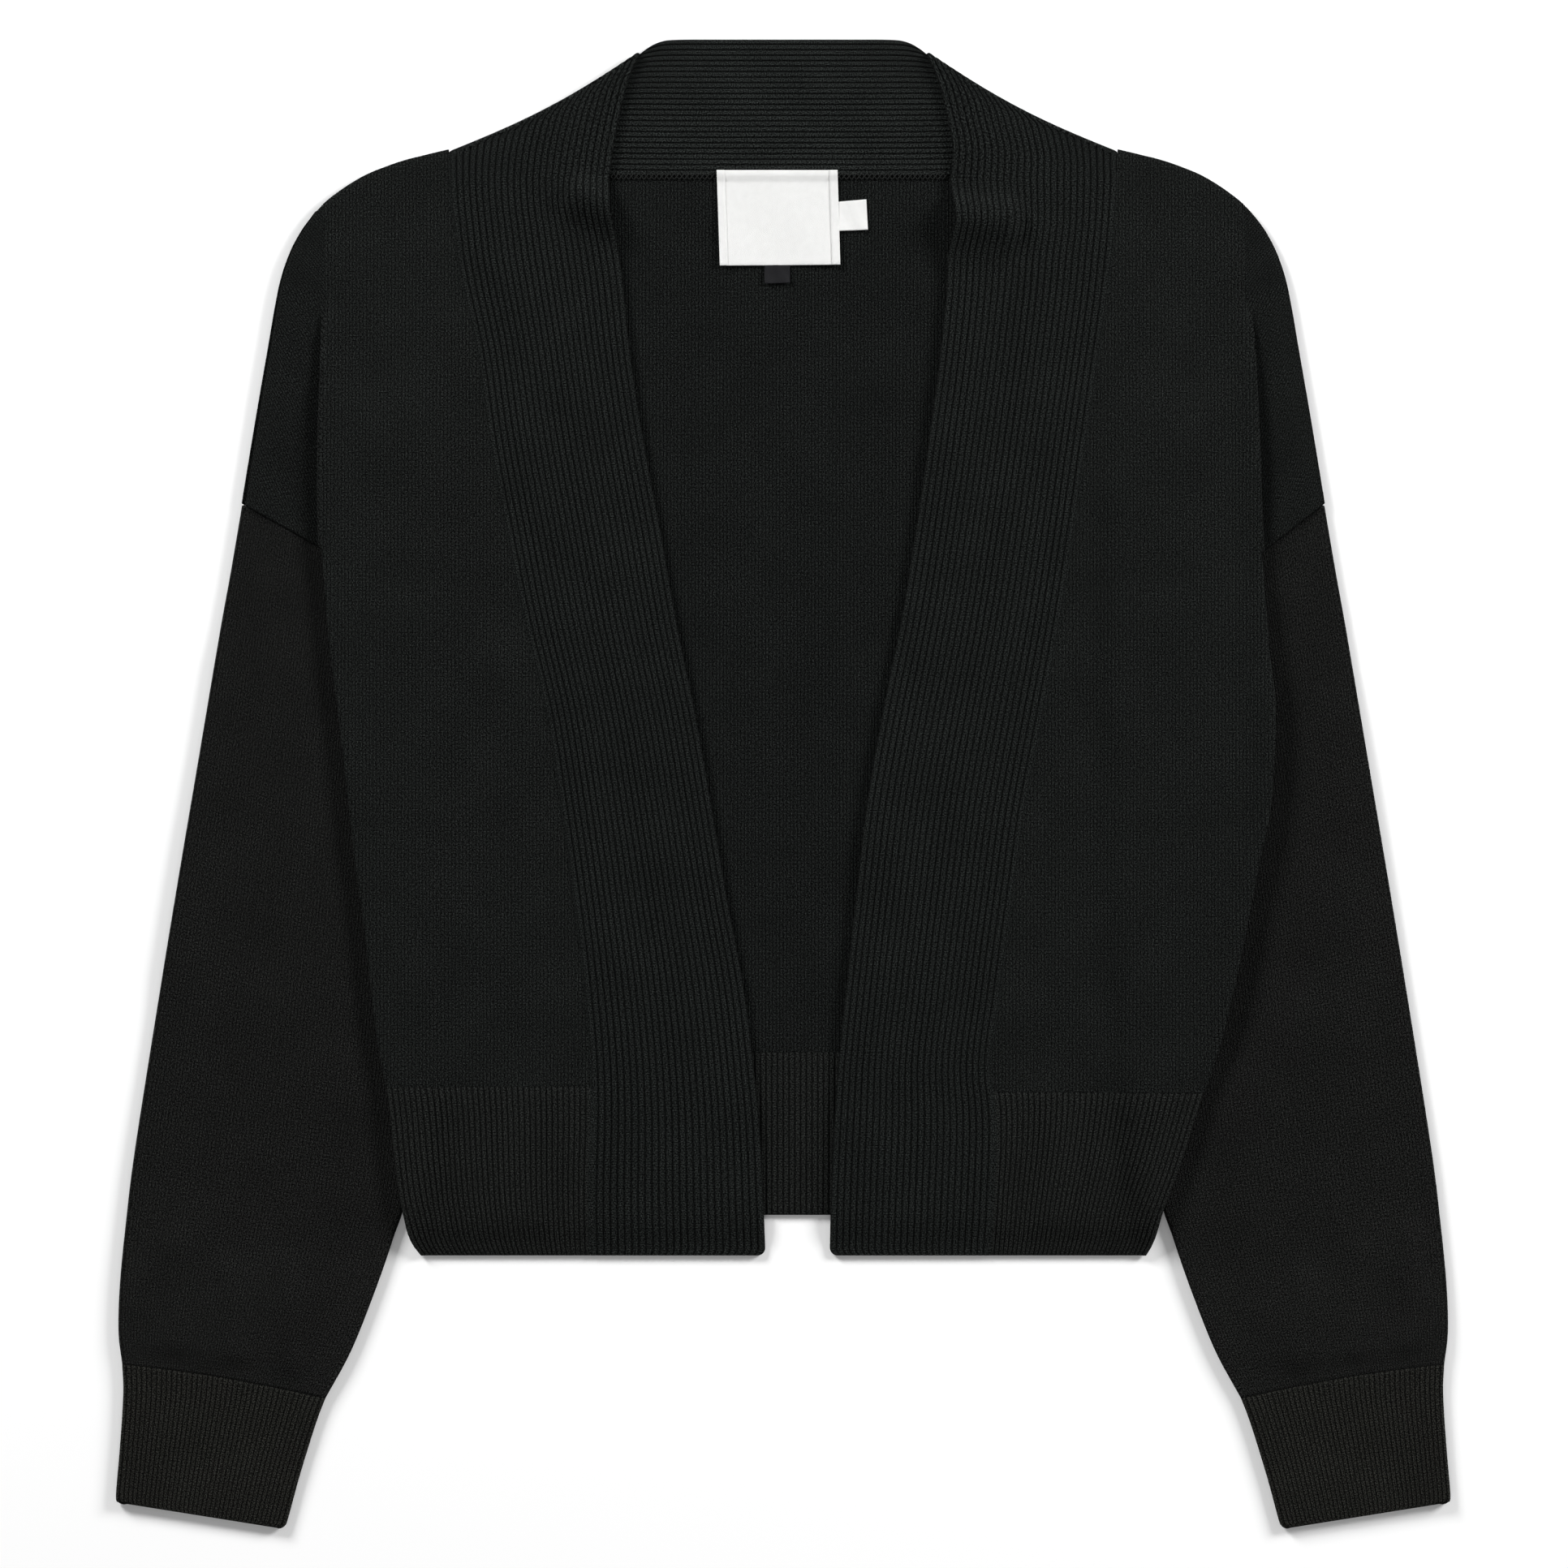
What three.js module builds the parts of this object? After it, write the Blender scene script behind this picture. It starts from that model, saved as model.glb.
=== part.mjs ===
// A cropped, open cardigan laid flat on a surface with its front up.
// Millimetres. +X runs to the right of the view, +Y towards the collar, +Z up from the surface.
// Left and right are those of the view from above. Distances "from the middle" are measured along X,
// and the side that they belong to gives them their sign.

import * as THREE from "three";
import { mergeVertices } from "three/addons/utils/BufferGeometryUtils.js";

// Thickness of the cloth and the heights at which its layers lie
const JERSEY = 1.6;
const RIB_WALL = 1.6;
const RIB_RISE = 0.6;
const LABEL_WALL = 1.0;
const SEAM_GAP = 0.3;
const LAYER_GAP = 0.4;
const SLEEVE_HOLLOW = 0.6;
const SLEEVE_LOFT = 2 * JERSEY + SLEEVE_HOLLOW;
const FRONT_BASE = RIB_WALL + RIB_RISE + LAYER_GAP;
const BODY_LIFT = SLEEVE_LOFT + LAYER_GAP;

// The body rests on the sleeves and comes down beside them over this width
const LIFT_RAMP = 16;
const LIFT_MARGIN = 2.5;
const CREASE_TOP = 213;
const CREASE_STEP = 4;
const BACK_TUCK = 2.4;
const EDGE_ROUND = 1.2;
const EDGE_DROP = 0.65;

// Hems, neck and collar along Y
const COLLAR_TOP = 323.2;
const NECK_SEAM = 263.8;
const BACK_HEM_TOP = -116.7;
const BACK_HEM_END = -187.4;
const FRONT_HEM_END = -205;
const HEM_ROW = -139;
const OVERHANG_START = -188.5;
const OVERHANG_MIDDLE = -196.5;
const OVERHANG_LENGTH = 14;
const SHOULDER_CORNER = 199.5;
const BACK_NECK_CORNER = 148;

// Ribs
const BAND_RIBS = 25;
const CUFF_RIBS = 38;
const HEM_RIB_PITCH = 2.5;
const BACK_HEM_RIBBED = 42;
const FACETS_PER_RIB = 2;

// Steps into which the surfaces are divided, and the least distance between a row and its neighbour
const ROW_CLEARANCE = 5;
const RAMP_CLEARANCE = 4;
const RAMP_STEPS = 4;
const OUTER_STEPS = 2;
const FRONT_STEPS = 4;
const FRONT_HEM_STEPS = 3;
const BACK_HEM_STEPS = 2;
const CREASE_STEPS = 4;
const STRIP_STEPS = 2;
const FOLD_STEPS = 4;
const BAND_INSIDE_STEPS = 6;
const SLEEVE_STEPS = 8;
const CUFF_INSIDE_STEPS = 4;
const UNDERSIDE_STEPS = 3;
const LABEL_STEPS = 4;
const BACK_ROWS = [-70, -20, 30, 80, 135, 175];
const NORMAL_STEP = 0.02;
const MERGE_DECIMALS = 3;

const QUARTER = Math.PI / 2;
// Places round a flat ring: each fold takes this share on either side of its middle
const FOLD_SHARE = 0.02;
const HALF_ROUND = 0.5;

const SIDES = [
  { name: "left", sign: -1, hemTop: -131.3, armholeInnerY: 74 },
  { name: "right", sign: 1, hemTop: -133.8, armholeInnerY: 56 },
];

// Front band: distance of its seam and of its free edge from the middle
const BAND = table(["y", "leftSeam", "leftFree", "rightSeam", "rightFree"], [
  [-205, 83.8, 7.7, 89.6, 20.2],
  [-196.5, 83.9, 8.0, 89.9, 20.3],
  [-188.5, 84.0, 8.3, 90.4, 20.4],
  [-139, 83.1, 11.0, 91.5, 22.6],
  [-90, 86.0, 16.8, 94.0, 27.0],
  [-10, 96.2, 31.0, 105.1, 36.0],
  [30, 102.6, 38.0, 112.6, 42.8],
  [70, 112.0, 46.2, 119.9, 50.9],
  [110, 120.0, 53.2, 126.0, 57.4],
  [150, 127.4, 60.7, 131.6, 63.2],
  [190, 133.2, 66.7, 137.4, 68.4],
  [229, 141.4, 71.1, 142.4, 71.1],
  [238, 142.4, 72.0, 143.3, 74.8],
  [262, 144.4, 76.0, 144.9, 71.4],
]);

// Band above the neck, where its sections fan out to the shoulder fold and on round the back of the neck.
// "seam" and "free" are the section's two ends, "sag" is how far its middle hangs below the straight line.
const BAND_FAN = table(["seamX", "seamY", "freeX", "freeY", "sag"], [
  [144.6, 267.5, 75.4, 277.0, 0.5],
  [144.8, 271.5, 71.6, 292.0, 1.5],
  [144.9, 274.0, 65.2, 306.5, 2.8],
]);
const BAND_FOLD = { seamX: 145, seamY: 275.1, freeX: 55.6, freeY: 321.8, sag: 4.2 };
const BAND_BACK = table(["seamX", "seamY", "freeX", "freeY", "sag"], [
  [130, 270.6, 52.6, COLLAR_TOP, 3],
  [106, 266.2, 49.6, COLLAR_TOP, 1],
  [78, 264.2, 42, COLLAR_TOP, 0],
  [42, NECK_SEAM, 26, COLLAR_TOP, 0],
  [0, NECK_SEAM, 0, COLLAR_TOP, 0],
]);

// Side of the body: a free fold up to the armhole, then a crease that fades out over the drop shoulder
const BODY_EDGE = table(["y", "left", "right"], [
  [-205, 157.3, 157.6],
  [-203, 158.9, 158.8],
  [-186, 164.7, 164.3],
  [-165, 168.0, 172.0],
  [-136, 171.2, 181.2],
  [-118, 174.4, 187.3],
  [-92, 177.9, 193.9],
  [-64, 180.9, 199.8],
  [-36, 184.8, 205.2],
  [-10, 187.8, 210.5],
  [13, 190.3, 212.1],
  [38, 193.4, 212.3],
  [55, 195.7, 210.2],
  [80, 197.9, 208.4],
  [103, 199.6, 206.6],
  [150, 199.8, 204.6],
  [182, 198.9, 203.2],
  [213, 198.2, 200.8],
]);

// Outline of the shoulder, from the band's seam round to the sleeve's seam
const SHOULDER = table(["x", "y"], [
  [145.0, 275.1],
  [156.6, 272.3],
  [181.3, 263.8],
  [190.5, 258.2],
  [199.5, 251.0],
  [205.9, 243.8],
  [211.9, 234.3],
  [215.8, 225.1],
  [220.4, 206.1],
  [227.7, 163.9],
  [234.8, 121.3],
]);

// Sleeve sections from the armhole to the cuff: the outer fold and the fold that lies under the body
const SLEEVE = table(["outerX", "outerY", "innerX", "innerY"], [
  [234.8, 121.3, 150.0, 74],
  [239.6, 93.0, 150.0, 47],
  [244.6, 65.3, 150.5, 20],
  [254.1, 9.0, 152.0, -30],
  [263.6, -47.3, 154.5, -80],
  [272.8, -103.7, 157.5, -127],
  [281.6, -160.0, 163.0, -176],
  [285.1, -188.1, 169.5, -198],
  [287.9, -216.3, 177.5, -221],
  [288.6, -237.4, 187.5, -246],
  [287.0, -251.9, 198.7, -266.8],
]);
const ARMHOLE_BLEND_ROWS = 3;
const CORNER_PASSES = 6;

// Cuff sections from the sleeve's seam to the open end, which narrows at its corners
const CUFF = table(["outerX", "outerY", "innerX", "innerY"], [
  [287.0, -251.9, 198.7, -266.8],
  [286.7, -270.0, 204.6, -282.6],
  [289.7, -308.4, 215.0, -318.6],
  [286.9, -312.2, 218.4, -323.2],
]);
const CUFF_SEAM_BOW = 1.5;

// Soft folds of the upper layer: a ridge, or a trough where "rise" is below zero, along a line
const FRONT_FOLDS = table(["sign", "x0", "y0", "x1", "y1", "width", "rise"], [
  [-1, 104, 30, 92, -112, 8, -0.6],
  [-1, 124, 64, 112, -96, 13, 1.3],
  [-1, 152, 214, 146, 120, 15, 1.0],
  [-1, 166, -20, 158, -120, 10, 0.7],
  [1, 146, 206, 143, 136, 8, -0.6],
  [1, 160, 214, 158, 110, 14, 1.4],
  [1, 116, -10, 106, -110, 12, 1.1],
  [1, 186, 66, 178, -60, 12, 0.9],
  [1, 140, 60, 132, -40, 14, 0.7],
]);
const SLEEVE_FOLDS = table(["sign", "x0", "y0", "x1", "y1", "width", "rise"], [
  [-1, 236, 60, 262, -90, 13, 1.2],
  [-1, 214, -60, 226, -170, 12, 0.9],
  [-1, 258, -190, 252, -244, 9, 1.0],
  [-1, 222, -200, 218, -254, 8, 0.8],
  [1, 234, 40, 256, -70, 12, 1.0],
  [1, 222, -90, 236, -190, 13, 1.1],
  [1, 266, -184, 262, -244, 9, 0.9],
  [1, 232, -212, 228, -256, 8, 0.8],
]);

const NECK_LABEL = { left: -28.6, right: 23.6, bottom: 225, top: 265.4, lipStart: 261.5 };
const SIZE_TAB = { left: -8, right: 2.8, bottom: 217, top: 224.7 };
const CARE_TAB = { left: 23.9, right: 36.6, bottom: 240.2, top: 252.9 };

const CLOTH_LOOK = { color: 0x1b1c1b, roughness: 0.95, metalness: 0 };
const RIB_LOOK = { color: 0x1d1e1d, roughness: 0.95, metalness: 0 };
const LABEL_LOOK = { color: 0xe4e4e0, roughness: 0.7, metalness: 0 };
const SIZE_TAB_LOOK = { color: 0x333333, roughness: 0.7, metalness: 0 };

// Small helpers

function table(columns, rows) {
  return rows.map((row) => Object.fromEntries(columns.map((name, i) => [name, row[i]])));
}

function lerp(a, b, t) {
  return a + (b - a) * t;
}

function smoothstep(t) {
  const s = Math.min(1, Math.max(0, t));
  return s * s * (3 - 2 * s);
}

function evenly(from, to, steps) {
  return Array.from({ length: steps + 1 }, (_, i) => lerp(from, to, i / steps));
}

// Straight-line reading of one column of a table against another that rises or falls all the way
function read(rows, key, at, wanted) {
  const up = rows[rows.length - 1][key] > rows[0][key];
  const ordered = up ? rows : [...rows].reverse();
  const last = ordered.length - 1;
  let i = 0;
  while (i < last - 1 && ordered[i + 1][key] < at) i += 1;
  const span = ordered[i + 1][key] - ordered[i][key];
  const t = Math.min(1, Math.max(0, (at - ordered[i][key]) / span));
  return lerp(ordered[i][wanted], ordered[i + 1][wanted], t);
}

// Height added by the soft folds at a point: each is a bell across its line that fades towards its ends
function foldRise(folds, x, y) {
  let rise = 0;
  for (const fold of folds) {
    const x0 = fold.sign * fold.x0;
    const dx = fold.sign * fold.x1 - x0;
    const dy = fold.y1 - fold.y0;
    const length = Math.hypot(dx, dy);
    const along = ((x - x0) * dx + (y - fold.y0) * dy) / length;
    const across = ((x - x0) * dy - (y - fold.y0) * dx) / length;
    const ends = smoothstep((along + fold.width) / (2 * fold.width))
      * smoothstep((length - along + fold.width) / (2 * fold.width));
    rise += fold.rise * ends * Math.exp(-((across / fold.width) ** 2));
  }
  return rise;
}

// Sizes that follow from the tables

const sideOf = (x) => (x < 0 ? SIDES[0] : SIDES[1]);
const edgeAt = (side, y) => read(BODY_EDGE, "y", y, side.name);
const sleeveInnerAt = (y) => read(SLEEVE, "innerY", y, "innerX");
const shoulderY = (x) => read(SHOULDER, "x", x, "y");
const neckSeamY = (x) => read(BAND_BACK, "seamX", x, "seamY");

function bandSeamAt(side, y) {
  const seam = `${side.name}Seam`;
  const top = BAND[BAND.length - 1];
  if (y <= top.y) return read(BAND, "y", y, seam);
  return lerp(top[seam], BAND_FOLD.seamX, (y - top.y) / (BAND_FOLD.seamY - top.y));
}

// Place along Y where the sleeve's seam meets the crease and passes under the body
function armholeCornerY(side) {
  const outer = SLEEVE[0];
  const slope = (outer.outerY - side.armholeInnerY) / (outer.outerX - outer.innerX);
  let y = outer.outerY;
  for (let pass = 0; pass < CORNER_PASSES; pass += 1) {
    y = outer.outerY + SEAM_GAP / 2 - slope * (outer.outerX - edgeAt(side, y));
  }
  return y;
}

// How far the body's lowest layer lies above the surface: on the sleeve, or coming down beside it
function liftAt(x, y) {
  const side = sideOf(x);
  const corner = armholeCornerY(side);
  const inward = (sleeveInnerAt(y) - LIFT_MARGIN - Math.abs(x)) / LIFT_RAMP;
  const fade = (y - corner) / (CREASE_TOP - corner);
  return BODY_LIFT * (1 - smoothstep(inward)) * (1 - smoothstep(fade));
}

// Underside of the upper layer: it hangs down to the surface beyond the end of the back hem
function frontBaseAt(x, y) {
  const hang = FRONT_BASE * smoothstep((OVERHANG_START - y) / OVERHANG_LENGTH);
  return FRONT_BASE - hang + liftAt(x, y) + foldRise(FRONT_FOLDS, x, y);
}

// Closed walls

// Triangles between two rows of points: point by point where they have as many, otherwise by
// each point's place "t" along its row
function zipRows(a, b) {
  const place = (row, k) => (a.length === b.length ? k : row[k].t);
  const triangles = [];
  let i = 0;
  let j = 0;
  while (i < a.length - 1 || j < b.length - 1) {
    const nextA = i < a.length - 1 ? place(a, i + 1) : Infinity;
    const nextB = j < b.length - 1 ? place(b, j + 1) : Infinity;
    if (nextA <= nextB) {
      triangles.push([a[i].p, a[i + 1].p, b[j].p]);
      i += 1;
    } else {
      triangles.push([a[i].p, b[j + 1].p, b[j].p]);
      j += 1;
    }
  }
  return triangles;
}

// A wall between rows of outer points and rows of inner points, closed along its four rims.
// A tube's rows end where they start, so it has rims at its two ends only.
function wallFromRows(outer, inner, tube = false) {
  const last = outer.length - 1;
  const triangles = [...zipRows(inner[0], outer[0]), ...zipRows(outer[last], inner[last])];
  for (let k = 0; k < last; k += 1) {
    triangles.push(...zipRows(outer[k], outer[k + 1]), ...zipRows(inner[k + 1], inner[k]));
    if (tube) continue;
    const [o0, o1, i0, i1] = [outer[k], outer[k + 1], inner[k], inner[k + 1]];
    triangles.push([o0[0].p, o1[0].p, i1[0].p], [o0[0].p, i1[0].p, i0[0].p]);
    const [oa, ob, ia, ib] = [o0, o1, i0, i1].map((row) => row[row.length - 1].p);
    triangles.push([ob, oa, ia], [ob, ia, ib]);
  }
  return solidFrom(triangles);
}

function volumeOf(triangles) {
  return triangles.reduce((sum, [a, b, c]) => sum + a.dot(b.clone().cross(c)) / 6, 0);
}

function solidFrom(triangles) {
  const outward = volumeOf(triangles) > 0;
  const corners = triangles.flatMap(([a, b, c]) => (outward ? [a, b, c] : [a, c, b]));
  const geometry = new THREE.BufferGeometry().setFromPoints(corners);
  const merged = mergeVertices(geometry, 10 ** -MERGE_DECIMALS);
  merged.setIndex(withoutSlivers(merged.index.array));
  merged.computeVertexNormals();
  return merged;
}

function withoutSlivers(index) {
  const kept = [];
  for (let i = 0; i < index.length; i += 3) {
    const [a, b, c] = [index[i], index[i + 1], index[i + 2]];
    if (a !== b && b !== c && c !== a) kept.push(a, b, c);
  }
  return kept;
}

// A sheet joined from grids that share their border points, then given its thickness along its normals
function thickSheet(grids, thickness) {
  const points = [];
  const places = new Map();
  const faces = [];
  const indexOf = (p) => {
    const key = [p.x, p.y, p.z].map((v) => v.toFixed(MERGE_DECIMALS)).join();
    if (!places.has(key)) places.set(key, points.push(p) - 1);
    return places.get(key);
  };
  for (const grid of grids) {
    for (let r = 0; r < grid.length - 1; r += 1) {
      for (let c = 0; c < grid[r].length - 1; c += 1) {
        const [a, b, d, e] = [grid[r][c], grid[r][c + 1], grid[r + 1][c + 1], grid[r + 1][c]].map(indexOf);
        faces.push(...upward([[a, b, d], [a, d, e]], points));
      }
    }
  }
  const normals = vertexNormals(points, faces);
  const top = points.map((p, i) => p.clone().addScaledVector(normals[i], thickness / 2));
  const bottom = points.map((p, i) => p.clone().addScaledVector(normals[i], -thickness / 2));
  const triangles = faces.flatMap(([a, b, c]) => (
    [[top[a], top[b], top[c]], [bottom[a], bottom[c], bottom[b]]]));
  for (const [a, b] of borderEdges(faces)) {
    triangles.push([top[a], bottom[a], bottom[b]], [top[a], bottom[b], top[b]]);
  }
  return solidFrom(triangles);
}

// Keeps the faces that have an area and turns them to face up
function upward(faces, points) {
  const kept = faces.filter(([a, b, c]) => a !== b && b !== c && c !== a);
  return kept.map(([a, b, c]) => {
    const [ax, bx, cx] = [points[a], points[b], points[c]];
    const turn = (bx.x - ax.x) * (cx.y - ax.y) - (bx.y - ax.y) * (cx.x - ax.x);
    return turn > 0 ? [a, b, c] : [a, c, b];
  });
}

function vertexNormals(points, faces) {
  const normals = points.map(() => new THREE.Vector3());
  for (const [a, b, c] of faces) {
    const u = points[b].clone().sub(points[a]);
    const v = points[c].clone().sub(points[a]);
    const normal = u.cross(v);
    for (const i of [a, b, c]) normals[i].add(normal);
  }
  return normals.map((n) => n.normalize());
}

function borderEdges(faces) {
  const edges = new Map();
  for (const [a, b, c] of faces) {
    for (const [p, q] of [[a, b], [b, c], [c, a]]) edges.set(`${p}_${q}`, [p, q]);
  }
  return [...edges.values()].filter(([p, q]) => !edges.has(`${q}_${p}`));
}

// Body panels

// Places across one half of the body, from "start" to its edge, close together where it comes off
// the sleeve. "fixed" are places of its own for the inner part, which is otherwise divided evenly.
function halfColumns(start, edge, y, innerSteps, fixed = []) {
  const rampEnd = Math.min(sleeveInnerAt(y), edge - RAMP_CLEARANCE);
  const rampStart = Math.max(start + RAMP_CLEARANCE, rampEnd - LIFT_RAMP - LIFT_MARGIN);
  const inner = fixed.length > 0 ? [...fixed, rampStart] : evenly(start, rampStart, innerSteps);
  const ramp = evenly(rampStart, rampEnd, RAMP_STEPS).slice(1);
  const outer = evenly(rampEnd, edge - EDGE_ROUND, OUTER_STEPS).slice(1);
  return [...inner, ...ramp, ...outer, edge];
}

// Rows of a panel up to the crease's top end, with one through the sleeve's seam and one just above it
function bodyRows(side, bottom, wanted) {
  const corner = armholeCornerY(side);
  const kept = wanted.filter((y) => y > bottom + ROW_CLEARANCE && Math.abs(y - corner) > ROW_CLEARANCE);
  return [bottom, ...kept, corner, corner + ROW_CLEARANCE, CREASE_TOP].sort((a, b) => a - b);
}

// Rows above the crease, as parts of the way up to the outline, level with the band's own sections
const UPPER_ROWS = [...BAND.map((row) => row.y).filter((y) => y > CREASE_TOP), BAND_FOLD.seamY]
  .map((y) => (y - CREASE_TOP) / (BAND_FOLD.seamY - CREASE_TOP));

// Column of points down the crease or free edge, with the strip of drop shoulder that lies beyond it
function shoulderStrip(side, creasePoints, heightAt) {
  const corner = creasePoints[0];
  const summit = creasePoints[creasePoints.length - 1];
  const outer = SHOULDER[SHOULDER.length - 1];
  const seamShift = SEAM_GAP / 2;
  return creasePoints.map((crease, row) => {
    const t = (crease.y - corner.y) / (summit.y - corner.y);
    const outlineY = lerp(outer.y + seamShift, summit.y, t);
    const outlineX = t === 1 ? side.sign * summit.x : read(SHOULDER, "y", outlineY, "x");
    const startX = Math.abs(crease.x);
    const width = outlineX - startX;
    const third = width / 3;
    const stepWidth = Math.min(CREASE_STEP, third);
    const steps = evenly(0, stepWidth, CREASE_STEPS);
    const rest = evenly(stepWidth, Math.max(width - EDGE_ROUND, stepWidth + third), STRIP_STEPS).slice(1);
    return [...steps, ...rest, width].map((distance, column) => {
      if (column === 0 || width < SEAM_GAP) return crease;
      const across = width > 0 ? distance / width : 1;
      const x = side.sign * (startX + distance);
      const y = lerp(crease.y, outlineY, across);
      const fall = 1 - smoothstep(distance / CREASE_STEP);
      const isEdge = column === steps.length + rest.length;
      const lift = liftAt(side.sign * startX, crease.y) * fall;
      return new THREE.Vector3(x, y, heightAt(x, y, lift, isEdge));
    });
  });
}

// Mid-surface height of the upper layer on the strip, which bends down to the lower one at the outline
function frontStripHeight(x, y, lift, isEdge) {
  const drop = isEdge ? EDGE_DROP : 0;
  return FRONT_BASE + lift + foldRise(FRONT_FOLDS, x, y) + JERSEY / 2 - drop;
}

function frontPanel(side) {
  const bottom = side.hemTop + SEAM_GAP / 2;
  const ys = bodyRows(side, bottom, BAND.map((row) => row.y).filter((y) => y < CREASE_TOP - ROW_CLEARANCE));
  const heightAt = (x, y) => frontBaseAt(x, y) + JERSEY / 2;
  const corner = armholeCornerY(side);
  const lower = ys.map((y) => {
    const seam = bandSeamAt(side, y) + SEAM_GAP;
    const columns = halfColumns(seam, edgeAt(side, y), y, FRONT_STEPS);
    return columns.map((distance, i) => {
      const x = side.sign * distance;
      const drop = i === columns.length - 1 && y < corner - SEAM_GAP ? EDGE_DROP : 0;
      return new THREE.Vector3(x, y, heightAt(x, y) - drop);
    });
  });
  const upper = UPPER_ROWS.map((t) => {
    const seam = bandSeamAt(side, lerp(CREASE_TOP, BAND_FOLD.seamY, t)) + SEAM_GAP;
    const edge = lerp(edgeAt(side, CREASE_TOP), SHOULDER_CORNER, t);
    const columns = halfColumns(seam, edge, CREASE_TOP, FRONT_STEPS);
    return columns.map((distance) => {
      const x = side.sign * distance;
      const y = lerp(CREASE_TOP, shoulderY(distance), t);
      return new THREE.Vector3(x, y, heightAt(x, y));
    });
  });
  const main = [...lower, ...upper];
  const crease = main.map((row) => row[row.length - 1]).slice(ys.indexOf(corner));
  const strip = shoulderStrip(side, crease, frontStripHeight);
  return thickSheet([main, strip], JERSEY);
}

function backPanel() {
  const bottom = BACK_HEM_TOP + SEAM_GAP / 2;
  const corners = SIDES.map(armholeCornerY);
  const fixed = [...BACK_ROWS, ...corners, corners[0] + ROW_CLEARANCE];
  const ys = [bottom, ...fixed, CREASE_TOP].sort((a, b) => a - b);
  const insetOf = (side, y) => (y < armholeCornerY(side) - SEAM_GAP ? EDGE_ROUND / 2 : BACK_TUCK);
  const inner = BAND_BACK.map((section) => section.seamX).reverse();
  const rowAt = (y, pointY) => {
    const [left, right] = SIDES.map((side) => (
      halfColumns(0, edgeAt(side, y) - insetOf(side, y), y, 0, inner)));
    const xs = [...left.slice(1).map((d) => -d).reverse(), ...right];
    return xs.map((x) => new THREE.Vector3(x, pointY(x), liftAt(x, pointY(x)) + JERSEY / 2));
  };
  const topY = (x) => {
    const distance = Math.abs(x);
    return distance < BACK_NECK_CORNER ? neckSeamY(distance) - SEAM_GAP / 2 : shoulderY(distance);
  };
  const lower = ys.map((y) => rowAt(y, () => y));
  const upper = UPPER_ROWS.map((t) => rowAt(CREASE_TOP, (x) => lerp(CREASE_TOP, topY(x), t)));
  const main = [...lower, ...upper];
  const strips = SIDES.map((side) => {
    const column = main.map((row) => (side.sign < 0 ? row[0] : row[row.length - 1]));
    const crease = column.slice(ys.indexOf(armholeCornerY(side)));
    return shoulderStrip(side, crease, (x, y, lift) => lift + JERSEY / 2);
  });
  return thickSheet([main, ...strips], JERSEY);
}

// Ribbed walls

// Places along a row with a raised point in the middle of each rib
function ribPlaces(ribs) {
  return evenly(0, 1, ribs * FACETS_PER_RIB).map((t, i) => ({ t, rise: (i % FACETS_PER_RIB) * RIB_RISE }));
}

const plainPlaces = (steps) => evenly(0, 1, steps).map((t) => ({ t, rise: 0 }));

function frontHem(side) {
  const ys = [side.hemTop - SEAM_GAP / 2, HEM_ROW, OVERHANG_START, OVERHANG_MIDDLE, FRONT_HEM_END];
  const width = edgeAt(side, side.hemTop) - bandSeamAt(side, side.hemTop);
  const ribs = Math.round(width / HEM_RIB_PITCH);
  const row = (places, y, isOuter) => places.map(({ t, rise }) => {
    const x = side.sign * lerp(bandSeamAt(side, y) + SEAM_GAP, edgeAt(side, y), t);
    const z = frontBaseAt(x, y) + (isOuter ? RIB_WALL + rise : 0);
    return { t, p: new THREE.Vector3(x, y, z) };
  });
  const underPlaces = (y) => {
    const [seam, edge] = [bandSeamAt(side, y) + SEAM_GAP, edgeAt(side, y)];
    const columns = halfColumns(seam, edge, y, FRONT_HEM_STEPS);
    return columns.map((x) => ({ t: (x - seam) / (edge - seam), rise: 0 }));
  };
  const outer = ys.map((y) => row(ribPlaces(ribs), y, true));
  const inner = ys.map((y) => row(underPlaces(y), y, false));
  return wallFromRows(outer, inner);
}

// The back hem has its ribs where it shows between the two bands, and is plain under the fronts
function backHem() {
  const ys = [BACK_HEM_TOP - SEAM_GAP / 2, HEM_ROW, BACK_HEM_END];
  const ribs = Math.round((2 * BACK_HEM_RIBBED) / HEM_RIB_PITCH);
  const ribbed = evenly(-BACK_HEM_RIBBED, BACK_HEM_RIBBED, ribs * FACETS_PER_RIB)
    .map((x, i) => ({ x, rise: (i % FACETS_PER_RIB) * RIB_RISE }));
  const half = (side, y) => {
    const columns = halfColumns(BACK_HEM_RIBBED, edgeAt(side, y) - EDGE_ROUND / 2, y, BACK_HEM_STEPS);
    return columns.slice(1).map((distance) => ({ x: side.sign * distance, rise: 0 }));
  };
  const row = (y, middle, isOuter) => {
    const places = [...half(SIDES[0], y).reverse(), ...middle, ...half(SIDES[1], y)];
    const [from, to] = [places[0].x, places[places.length - 1].x];
    return places.map(({ x, rise }) => {
      const z = liftAt(x, y) + (isOuter ? RIB_WALL + rise : 0);
      return { t: (x - from) / (to - from), p: new THREE.Vector3(x, y, z) };
    });
  };
  const plain = [{ x: -BACK_HEM_RIBBED, rise: 0 }, { x: BACK_HEM_RIBBED, rise: 0 }];
  return wallFromRows(ys.map((y) => row(y, ribbed, true)), ys.map((y) => row(y, plain, false)));
}

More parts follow.
